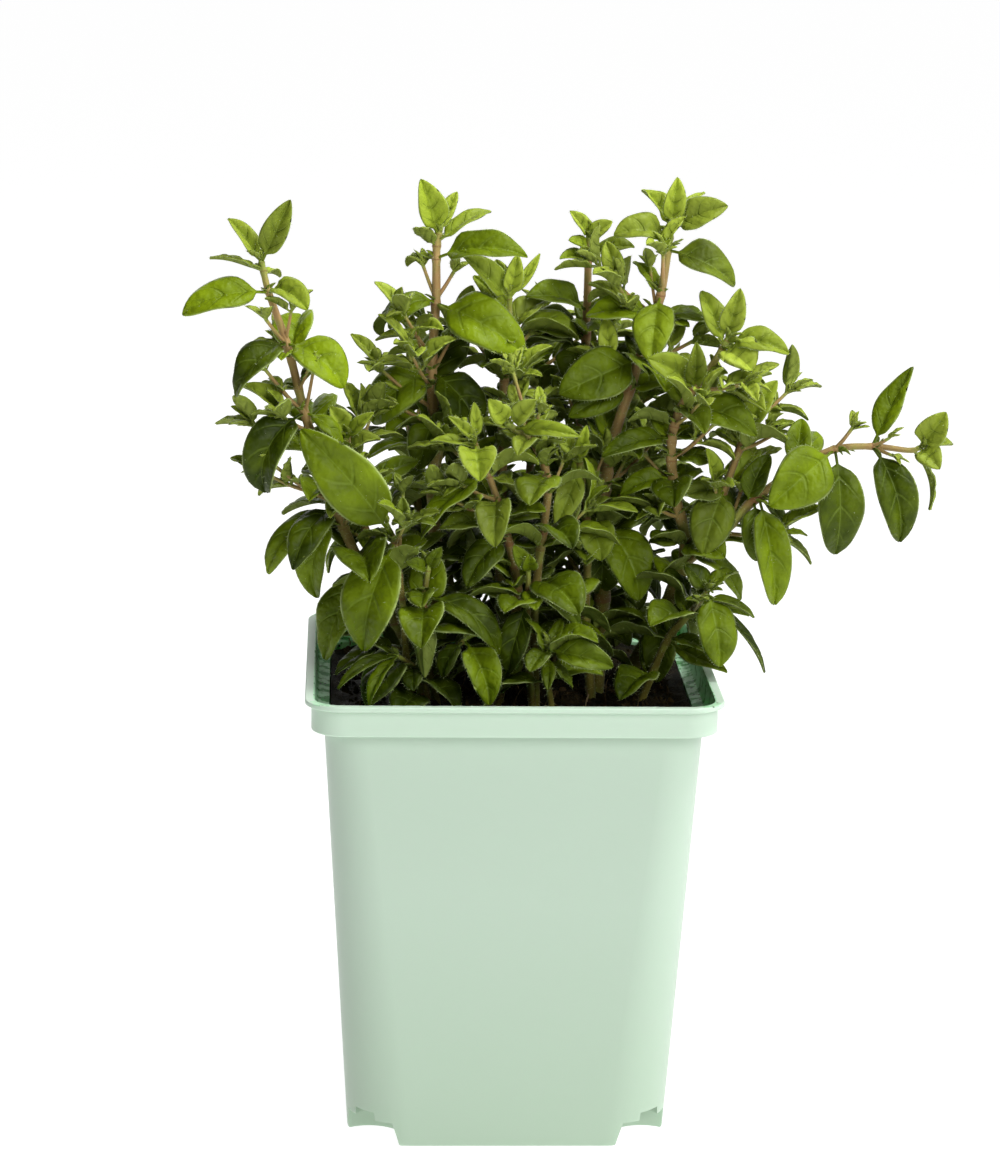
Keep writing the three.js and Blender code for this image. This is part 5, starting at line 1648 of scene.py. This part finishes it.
def axil_leaves(leaf, draw):
    """The tiny leaves of the bud that sleeps between a leaf's stalk and the stem."""
    low = leaf["root"][2] < LOW_AXILS_BELOW
    if draw(0, 1) > (LOW_AXIL_SHARE if low else AXIL_SHARE):
        return []
    outward = heading(leaf["azimuth"], leaf["rise"])
    axis = leaf["axis"]
    outward = unit(outward - axis * (outward @ axis) + axis * AXIL_LIFT)
    side = unit(np.cross(outward, UP) + np.array([0.01, 0, 0]))
    length = min(draw(*AXIL_LENGTHS), leaf["length"] * AXIL_MOST)
    leaves = []
    for turn in (-1, 1):
        azimuth, rise = heading_angles(unit(outward + side * turn * draw(*AXIL_SPREADS)))
        size = length * draw(*AXIL_PLAY)
        leaves.append({
            "root": leaf["root"], "azimuth": azimuth, "rise": rise, "length": size,
            "width": size * draw(*AXIL_WIDTHS), "arch": AXIL_ARCH, "fold": AXIL_FOLD,
            "up": unit(axis - outward * AXIL_LEAN),
        })
    return leaves


# The spread, the length and the turn of each unopened pair.
BUD_PAIRS = ((26, 5.2, 0), (14, 3.8, 90), (5, 2.6, 0))
BUD_ARCH = 12


def tip_leaves(path, draw):
    """The unopened leaves in the middle of a growing end."""
    turn = draw(0, 180)
    leaves = []
    for spread, length, across in BUD_PAIRS:
        for side in (0, 180):
            leaves.append(rule_leaf(path, 1, spread, turn + across + side, length, draw, BUD_ARCH))
    return leaves


class Piece:
    """Bodies joined into one object, each with its material's number and its points' values."""

    def __init__(self):
        self.faces, self.kinds, self.values = [], [], []
        self.count = 0

    def take(self, kind, points, faces, *values):
        self.faces += [tuple(self.count + i for i in face) for face in faces]
        self.kinds += [kind] * len(faces)
        self.values.append((points, *values))
        self.count += len(points)

    def make(self, name, materials):
        points, places, *vectors = (np.vstack(arrays) for arrays in zip(*self.values))
        piece = mesh_object(name, points, self.faces)
        mesh = piece.data
        for material in materials:
            mesh.materials.append(material)
        mesh.polygons.foreach_set("material_index", self.kinds)
        corners = np.empty(len(mesh.loops), int)
        mesh.loops.foreach_get("vertex_index", corners)
        uv = places[corners].ravel().astype(np.float32)
        mesh.uv_layers.new(name="place").uv.foreach_set("vector", uv)
        for key, vector in zip(("finish", "down", "outward"), vectors):
            attribute = mesh.attributes.new(key, "FLOAT_VECTOR", "POINT")
            attribute.data.foreach_set("vector", vector.ravel().astype(np.float32))
        smooth(piece, 180, weighted=False)
        return piece


# Living leaf: a thin waxy skin over soft green tissue. Big old leaves are the deepest green,
# young ones are bright, and all are paler and duller underneath.
LEAF_DEEP = "#2E3C02"
LEAF_FRESH = "#859C10"
LEAF_YOUNG = "#B2C348"
LEAF_UNDER = "#7F8C40"
LEAF_VEIN = "#93AC44"
LEAF_MARGIN = "#B6C97C"
LEAF_IOR = 1.42
LEAF_ROUGHNESS, LEAF_ROUGHNESS_UNDER = 0.46, 0.65
LEAF_GLOSS = 0.2
LEAF_RELIEF = 0.75
TISSUE_SIZE = 1.1
DENT_SIZE = 2.6
TINT_SIZE = 9.0
# How far from the midrib, as a share of the blade's half width, or from the middle of a side
# vein, as a share of half their spacing, each line fades out and is full.
MIDRIB_LINE = (0.04, 0.008)
SIDE_LINE = (0.2, 0.03)
VALLEY = (0.75, 0.0)
MARGIN_LINE = (0.92, 0.99)
# Where the side veins begin to fade and are faintest, on their way to the margin and the tip.
OUTWARD_FADE = (0.25, 0.92)
ONWARD_FADE = (0.6, 0.88)
# The sum of a leaf's tone, painted shade included, and the drift over it at which it is deep green and
# fresh green.
DEEP_AT, FRESH_AT = 0.45, 1.45
# The most that each of them changes the blade's colour.
UNDER_SHARE = 0.7
VALLEY_SHADE_SHARE = 0.34
VEIN_SHARE = 0.25
MARGIN_SHARE = 0.75
SIDE_VEIN_DEPTH = 0.35
TISSUE_HEIGHT = 0.2


def leaf_skin():
    material, tree = new_material("oregano_leaf")
    place = add(tree, "ShaderNodeTexCoord").outputs["Object"]
    finish = add(tree, "ShaderNodeAttribute", attribute_name="finish").outputs["Vector"]
    tone_and_shade, age, under = add(tree, "ShaderNodeSeparateXYZ", {0: finish}).outputs
    uv = add(tree, "ShaderNodeUVMap", uv_map="place").outputs[0]
    along, around, _ = add(tree, "ShaderNodeSeparateXYZ", {0: uv}).outputs
    off = add(tree, "ShaderNodeMath", {0: around, 1: 0.5}, operation="SUBTRACT").outputs[0]
    off = add(tree, "ShaderNodeMath", {0: off}, operation="ABSOLUTE").outputs[0]
    off = add(tree, "ShaderNodeMath", {0: off, 1: 2.0}, operation="MULTIPLY").outputs[0]
    midrib_line = add(tree, "ShaderNodeMapRange", {0: off, 1: MIDRIB_LINE[0], 2: MIDRIB_LINE[1]},
                      interpolation_type="SMOOTHSTEP").outputs[0]
    # Side veins leave the midrib at a slant and bend towards the tip, in the valleys of the blade.
    bend = add(tree, "ShaderNodeMath", {0: off, 1: VEIN_CURVE}, operation="POWER").outputs[0]
    bend = add(tree, "ShaderNodeMath", {0: bend, 1: -VEIN_SLANT, 2: along},
               operation="MULTIPLY_ADD").outputs[0]
    phase = add(tree, "ShaderNodeMath", {0: bend, 1: 2.0 * SIDE_VEINS},
                operation="MULTIPLY").outputs[0]
    phase = add(tree, "ShaderNodeMath", {0: phase, 1: 1.0}, operation="PINGPONG").outputs[0]
    side_line = add(tree, "ShaderNodeMapRange", {0: phase, 1: SIDE_LINE[0], 2: SIDE_LINE[1]},
                    interpolation_type="SMOOTHSTEP").outputs[0]
    # They fade towards the margin and towards the tip.
    outward_fade = add(tree, "ShaderNodeMapRange", {
        0: off, 1: OUTWARD_FADE[0], 2: OUTWARD_FADE[1], 3: 0.8, 4: 0.0,
    })
    onward_fade = add(tree, "ShaderNodeMapRange", {
        0: along, 1: ONWARD_FADE[0], 2: ONWARD_FADE[1], 3: 1.0, 4: 0.1,
    })
    fade = add(tree, "ShaderNodeMath", {0: outward_fade.outputs[0], 1: onward_fade.outputs[0]},
               operation="MULTIPLY").outputs[0]
    side_line = add(tree, "ShaderNodeMath", {0: side_line, 1: fade},
                    operation="MULTIPLY").outputs[0]
    vein = add(tree, "ShaderNodeMath", {0: midrib_line, 1: side_line},
               operation="MAXIMUM").outputs[0]
    valley = add(tree, "ShaderNodeMapRange", {0: phase, 1: VALLEY[0], 2: VALLEY[1]},
                 interpolation_type="SMOOTHSTEP").outputs[0]
    valley = add(tree, "ShaderNodeMath", {0: valley, 1: fade}, operation="MULTIPLY").outputs[0]
    margin = add(tree, "ShaderNodeMapRange", {0: off, 1: MARGIN_LINE[0], 2: MARGIN_LINE[1]},
                 interpolation_type="SMOOTHSTEP").outputs[0]

    drift = add(tree, "ShaderNodeTexNoise", {
        "Vector": place, "Scale": 1 / (TINT_SIZE * MM), "Detail": 2.0,
    }).outputs[0]
    share = add(tree, "ShaderNodeMath", {0: tone_and_shade, 1: drift}, operation="ADD").outputs[0]
    share = add(tree, "ShaderNodeMapRange", {0: share, 1: DEEP_AT, 2: FRESH_AT}).outputs[0]
    young = add(tree, "ShaderNodeMath", {0: 1.0, 1: age}, operation="SUBTRACT").outputs[0]
    below, sunken, veined, edged = (
        add(tree, "ShaderNodeMath", {0: part, 1: most}, operation="MULTIPLY").outputs[0]
        for part, most in ((under, UNDER_SHARE), (valley, VALLEY_SHADE_SHARE), (vein, VEIN_SHARE),
                           (margin, MARGIN_SHARE)))
    # Painted shade: the blade is painted deeper green in the dip along each side vein, where less light
    # falls.
    tint = painted(tree, linear(LEAF_DEEP), (share, LEAF_FRESH), (young, LEAF_YOUNG),
                   (below, LEAF_UNDER), (sunken, LEAF_DEEP), (veined, LEAF_VEIN),
                   (edged, LEAF_MARGIN))

    tissue = add(tree, "ShaderNodeTexVoronoi", {"Vector": place, "Scale": 1 / (TISSUE_SIZE * MM)},
                 feature="SMOOTH_F1").outputs["Distance"]
    dents = add(tree, "ShaderNodeTexNoise", {
        "Vector": place, "Scale": 1 / (DENT_SIZE * MM), "Detail": 1.5,
    }).outputs[0]
    sunk = add(tree, "ShaderNodeMath", {0: side_line, 1: -SIDE_VEIN_DEPTH, 2: dents},
               operation="MULTIPLY_ADD").outputs[0]
    height = add(tree, "ShaderNodeMath", {0: tissue, 1: TISSUE_HEIGHT, 2: sunk},
                 operation="MULTIPLY_ADD").outputs[0]
    bump = add(tree, "ShaderNodeBump", {
        "Height": height, "Strength": 1.0, "Distance": LEAF_RELIEF * MM,
    })
    rough = add(tree, "ShaderNodeMapRange", {
        0: under, 3: LEAF_ROUGHNESS, 4: LEAF_ROUGHNESS_UNDER,
    }).outputs[0]
    skin = add(tree, "ShaderNodeBsdfPrincipled", {
        "Base Color": tint, "Roughness": rough, "Normal": bump.outputs[0], "IOR": LEAF_IOR,
        "Specular IOR Level": LEAF_GLOSS,
    })
    add(tree, "ShaderNodeOutputMaterial", {0: skin.outputs[0]})
    return material


# Young woody skin with fine lengthwise ribs: straw coloured and a little rosy high up, olive and
# darker low down, partly its own ripening and partly painted light above and painted shade below,
# greener towards the growing end, darkest in a line round each node.
STEM_ROSY_LIT = "#C09A68"
STEM_BROWN_SHADED = "#6C6426"
STEM_GREEN = "#93A443"
STEM_NODE = "#7A4A30"
ROSY_FROM, ROSY_AT = 145, 235
GREEN_FROM = 0.8
GREEN_PATCHES = 0.6
NODE_DARKNESS = 0.7
PATCH_SIZE = 6
RIB_WIDTH = 0.6
RIB_RELIEF = 0.15
STEM_ROUGHNESS = 0.62
STEM_GLOSS = 0.25
STEM_SHEEN = 0.12


def stem_skin():
    material, tree = new_material("oregano_stem")
    place = add(tree, "ShaderNodeTexCoord").outputs["Object"]
    finish = add(tree, "ShaderNodeAttribute", attribute_name="finish").outputs["Vector"]
    node, share, _ = add(tree, "ShaderNodeSeparateXYZ", {0: finish}).outputs
    z = add(tree, "ShaderNodeSeparateXYZ", {0: place}).outputs["Z"]
    blotch = add(tree, "ShaderNodeTexNoise", {
        "Vector": place, "Scale": 1 / (PATCH_SIZE * MM), "Detail": 3.0,
    }).outputs[0]
    # Painted light and shade: the stem is painted rosier with height and darker olive below, besides
    # its ripening.
    rosy_and_lit = add(tree, "ShaderNodeMapRange", {0: z, 1: ROSY_FROM * MM, 2: ROSY_AT * MM}).outputs[0]
    green = add(tree, "ShaderNodeMapRange", {0: share, 1: GREEN_FROM, 2: 1.0}).outputs[0]
    patches = add(tree, "ShaderNodeMapRange", {
        0: blotch, 1: 0.5, 2: 0.75, 4: GREEN_PATCHES,
    }).outputs[0]
    green = add(tree, "ShaderNodeMath", {0: green, 1: patches}, operation="MAXIMUM").outputs[0]
    ringed = add(tree, "ShaderNodeMapRange", {0: node, 1: 0.75, 2: 1.0, 4: NODE_DARKNESS}).outputs[0]
    tint = painted(tree, linear(STEM_BROWN_SHADED), (rosy_and_lit, STEM_ROSY_LIT), (green, STEM_GREEN),
                   (ringed, STEM_NODE))
    rib = add(tree, "ShaderNodeTexNoise", {
        "Vector": place, "Scale": 1 / (RIB_WIDTH * MM), "Detail": 2.0,
    }).outputs[0]
    bump = add(tree, "ShaderNodeBump", {
        "Height": rib, "Strength": 0.4, "Distance": RIB_RELIEF * MM,
    })
    skin = add(tree, "ShaderNodeBsdfPrincipled", {
        "Base Color": tint, "Roughness": STEM_ROUGHNESS, "Normal": bump.outputs[0],
        "Specular IOR Level": STEM_GLOSS, "Sheen Weight": STEM_SHEEN, "Sheen Roughness": 0.4,
    })
    add(tree, "ShaderNodeOutputMaterial", {0: skin.outputs[0]})
    return material


# Down: short soft white hairs on the stems, and a thin fringe of them on the leaf margins.
HAIR_COLOUR = "#DCE3C4"
HAIR_LENGTH = 0.75
HAIR_ROUND = 0.045
HAIR_SIZES = (0.45, 1.1)
FRINGE_STRAY, DOWN_STRAY = 0.45, 0.6
FRINGE_SPACING = 0.9
HAIRS_PER_SQUARE_MM = 0.9
HAIR_SEED = 3


def down_hair():
    material, tree = new_material("plant_hair")
    place = add(tree, "ShaderNodeTexCoord").outputs["Object"]
    drift = add(tree, "ShaderNodeTexNoise", {
        "Vector": place, "Scale": 1 / (TINT_SIZE * MM),
    }).outputs[0]
    tint = painted(tree, linear(LEAF_MARGIN), (drift, HAIR_COLOUR))
    shader = add(tree, "ShaderNodeBsdfPrincipled", {"Base Color": tint, "Roughness": 0.5})
    add(tree, "ShaderNodeOutputMaterial", {0: shader.outputs[0]})
    return material


def downy_tree():
    """Hairs along the edges that down marks in X, and over the faces that it marks in Y."""
    tree, given = geometry_tree("down", (
        "Hair length", "Hair radius", "Fringe spacing", "Hairs per area",
    ))
    skin = given["Geometry"]
    down, outward = (
        add(tree, "GeometryNodeInputNamedAttribute", {"Name": name},
            data_type="FLOAT_VECTOR").outputs[0] for name in ("down", "outward"))
    margin, downy, _ = add(tree, "ShaderNodeSeparateXYZ", {0: down}).outputs
    marked = where_all(tree, (margin, 0.9))
    edges = add(tree, "GeometryNodeMeshToCurve", {"Mesh": skin, "Selection": marked}).outputs[0]
    fringe = add(tree, "GeometryNodeResampleCurve", {0: edges, "Length": given["Fringe spacing"]},
                 mode="LENGTH").outputs[0]
    density = add(tree, "ShaderNodeMath", {0: downy, 1: given["Hairs per area"]},
                  operation="MULTIPLY").outputs[0]
    scattered = add(tree, "GeometryNodeDistributePointsOnFaces",
                    {"Mesh": skin, "Density": density, "Seed": HAIR_SEED})
    hair = add(tree, "GeometryNodeMeshCone", {
        "Vertices": 3, "Radius Bottom": given["Hair radius"], "Depth": given["Hair length"],
    }, fill_type="NONE").outputs[0]
    tufts = []
    for seed, (points, aim, wander) in enumerate((
        (fringe, outward, FRINGE_STRAY),
        (scattered.outputs["Points"], scattered.outputs["Normal"], DOWN_STRAY),
    )):
        astray = add(tree, "FunctionNodeRandomValue", {
            0: (-wander,) * 3, 1: (wander,) * 3, "Seed": seed,
        }, data_type="FLOAT_VECTOR").outputs[0]
        aim = add(tree, "ShaderNodeVectorMath", {0: aim, 1: astray}, operation="ADD").outputs[0]
        turned = add(tree, "FunctionNodeAlignRotationToVector", {"Vector": aim}, axis="Z").outputs[0]
        size = add(tree, "FunctionNodeRandomValue", {
            2: HAIR_SIZES[0], 3: HAIR_SIZES[1], "Seed": seed,
        }, data_type="FLOAT").outputs[1]
        tufts.append(add(tree, "GeometryNodeInstanceOnPoints", {
            "Points": points, "Instance": hair, "Rotation": turned, "Scale": size,
        }).outputs[0])
    hairs = add(tree, "GeometryNodeJoinGeometry", {0: tufts}).outputs[0]
    hairs = add(tree, "GeometryNodeRealizeInstances", {0: hairs}).outputs[0]
    hairs = add(tree, "GeometryNodeSetMaterial", {0: hairs, "Material": down_hair()}).outputs[0]
    everything = add(tree, "GeometryNodeJoinGeometry", {0: [hairs, skin]}).outputs[0]
    add(tree, "NodeGroupOutput", {0: everything})
    return tree


LEAFY_MATERIALS = (stem_skin(), leaf_skin())
STEM_KIND, LEAF_KIND = 0, 1
DETAIL_SEEDS = (5003, 17)
AXILS_FROM = 1.5 * SMALLEST_LEAF
AXIL_AGE = 0.5
TIP_AGE = 0.15
TIP_YOUNGER = 0.6
down = downy_tree()
down_sizes = {
    "Hair length": HAIR_LENGTH * MM, "Hair radius": HAIR_ROUND * MM,
    "Fringe spacing": FRINGE_SPACING * MM, "Hairs per area": HAIRS_PER_SQUARE_MM / MM**2,
}


def nodes_of(path):
    """Where on a path its leaves sit, from 0 to 1."""
    places = [item["leaf"]["sits_on"] for item in grown if item["lamina"]]
    return sorted({place for owner, place in places if owner == id(path)})


paths = {id(item["path"]): item["path"] for item in grown if not item["lamina"]}
for index, name in enumerate(dict.fromkeys(stem["plant"] for stem in STEMS)):
    draw = seeded_draw(DETAIL_SEEDS[0] + DETAIL_SEEDS[1] * index)
    leafy = Piece()
    for item in grown:
        if item["stem"] != name:
            continue
        if item["lamina"]:
            leaf = item["leaf"]
            age = ripeness(leaf, paths[leaf["sits_on"][0]])
            leafy.take(LEAF_KIND, *fine_leaf(aged(leaf, age, draw), draw))
            if leaf["length"] > AXILS_FROM:
                for bud in axil_leaves(leaf, draw):
                    leafy.take(LEAF_KIND, *fine_leaf(aged(bud, max(age, AXIL_AGE), draw), draw))
        else:
            path = item["path"]
            leafy.take(STEM_KIND, *fine_stalk(path, item["radii"], item["foot"], nodes_of(path)))
            for leaf in tip_leaves(path, draw):
                age = max(TIP_AGE, TIP_YOUNGER * ripeness(leaf, path))
                leafy.take(LEAF_KIND, *fine_leaf(aged(leaf, age, draw), draw))
    piece = leafy.make(name.replace("stem_", "leafy_"), LEAFY_MATERIALS)
    grow_on(piece, down, down_sizes)
    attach(piece, "root")
    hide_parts(name)


# ==== Stage ====
# A plain pale floor under soft studio light: a large soft light in front on the right, weaker ones
# at the right side and behind, and a small bright one overhead. The left side is dim.
LIT_POINT = Vector((0, 0, 0.13))
# Each light's place and size in metres, and its power in watts.
LIGHTS = {
    "key": ((0.42, -0.8, 0.72), 0.5, 5.6),
    "side": ((1.2, -0.1, 0.7), 0.8, 2.6),
    "top": ((0.4, -0.1, 1.1), 0.3, 7.4),
    "back": ((-0.35, 1.1, 0.75), 0.7, 3.6),
}
for name, (place, size, power) in LIGHTS.items():
    light = bpy.data.lights.new(name, "AREA")
    light.shape = "SQUARE"
    light.size = size
    light.energy = power
    holder = bpy.data.objects.new(name, light)
    holder.location = place
    holder.rotation_euler = (LIT_POINT - Vector(place)).to_track_quat("-Z", "Y").to_euler()
    bpy.context.scene.collection.objects.link(holder)

# The surrounding is dim on the left and pale on the right, and white where it shows.
PALEST = 0.38
FLOOR_GREY = 0.3
FLOOR_GLOW = 0.93
world = bpy.data.worlds.new("studio")
world.use_nodes = True
studio = world.node_tree
studio.nodes.clear()
bearing = add(studio, "ShaderNodeTexCoord").outputs["Generated"]
bearing = add(studio, "ShaderNodeSeparateXYZ", {0: bearing}).outputs["X"]
pale = add(studio, "ShaderNodeMapRange", {
    0: bearing, 1: -0.8, 2: 0.8, 3: 0.0, 4: PALEST,
}).outputs[0]
around = add(studio, "ShaderNodeBackground", {0: (1, 1, 1, 1), 1: pale}).outputs[0]
backdrop = add(studio, "ShaderNodeBackground", {0: (1, 1, 1, 1), 1: 1.0}).outputs[0]
seen = add(studio, "ShaderNodeLightPath").outputs["Is Camera Ray"]
surrounding = add(studio, "ShaderNodeMixShader", {0: seen, 1: around, 2: backdrop})
add(studio, "ShaderNodeOutputWorld", {0: surrounding.outputs[0]})
bpy.context.scene.world = world
bpy.context.scene.view_settings.view_transform = "Standard"


def pale_paint():
    material, tree = new_material("white_studio_floor")
    shader = add(tree, "ShaderNodeBsdfPrincipled", {
        "Base Color": (FLOOR_GREY, FLOOR_GREY, FLOOR_GREY, 1), "Roughness": 0.9,
        "Specular IOR Level": 0.1, "Emission Color": (1, 1, 1, 1), "Emission Strength": FLOOR_GLOW,
    })
    add(tree, "ShaderNodeOutputMaterial", {0: shader.outputs[0]})
    return material


floor_mesh = bpy.data.meshes.new("studio_floor")
floor_mesh.from_pydata([(-6, -3, 0), (6, -3, 0), (6, 14, 0), (-6, 14, 0)], [], [(0, 1, 2, 3)])
floor_mesh.materials.append(pale_paint())
floor = bpy.data.objects.new("studio_floor", floor_mesh)
bpy.context.scene.collection.objects.link(floor)
floor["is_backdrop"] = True


# The camera stands a metre in front, a little to the left and above, and leans a little.
CAMERA_YAW = -2.58
CAMERA_RISE = 12.78
CAMERA_DISTANCE = 0.998
CAMERA_TARGET = (-0.0025, 0.0, 0.148)
CAMERA_ROLL = 0.91
SENSOR = 36.0
FOCAL_PIXELS = 3610
IMAGE_HEIGHT = 1168

yaw, rise, roll = (math.radians(angle) for angle in (CAMERA_YAW, CAMERA_RISE, CAMERA_ROLL))
back = Vector((math.sin(yaw) * math.cos(rise), -math.cos(yaw) * math.cos(rise), math.sin(rise)))
right = Vector((0, 0, 1)).cross(back).normalized()
upward = back.cross(right)
tilted_right = right * math.cos(roll) + upward * math.sin(roll)
tilted_up = upward * math.cos(roll) - right * math.sin(roll)
lens = bpy.data.cameras.new("camera")
lens.sensor_width = SENSOR
lens.lens = FOCAL_PIXELS * SENSOR / IMAGE_HEIGHT
lens.clip_start = 0.05
camera = bpy.data.objects.new("camera", lens)
pose = Matrix((tilted_right, tilted_up, back)).transposed().to_4x4()
pose.translation = Vector(CAMERA_TARGET) + back * CAMERA_DISTANCE
camera.matrix_world = pose
bpy.context.scene.collection.objects.link(camera)
bpy.context.scene.camera = camera


# ==== Sizes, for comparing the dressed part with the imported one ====
boxes = [[list(corner) for corner in box] for box in (cad_box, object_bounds())]
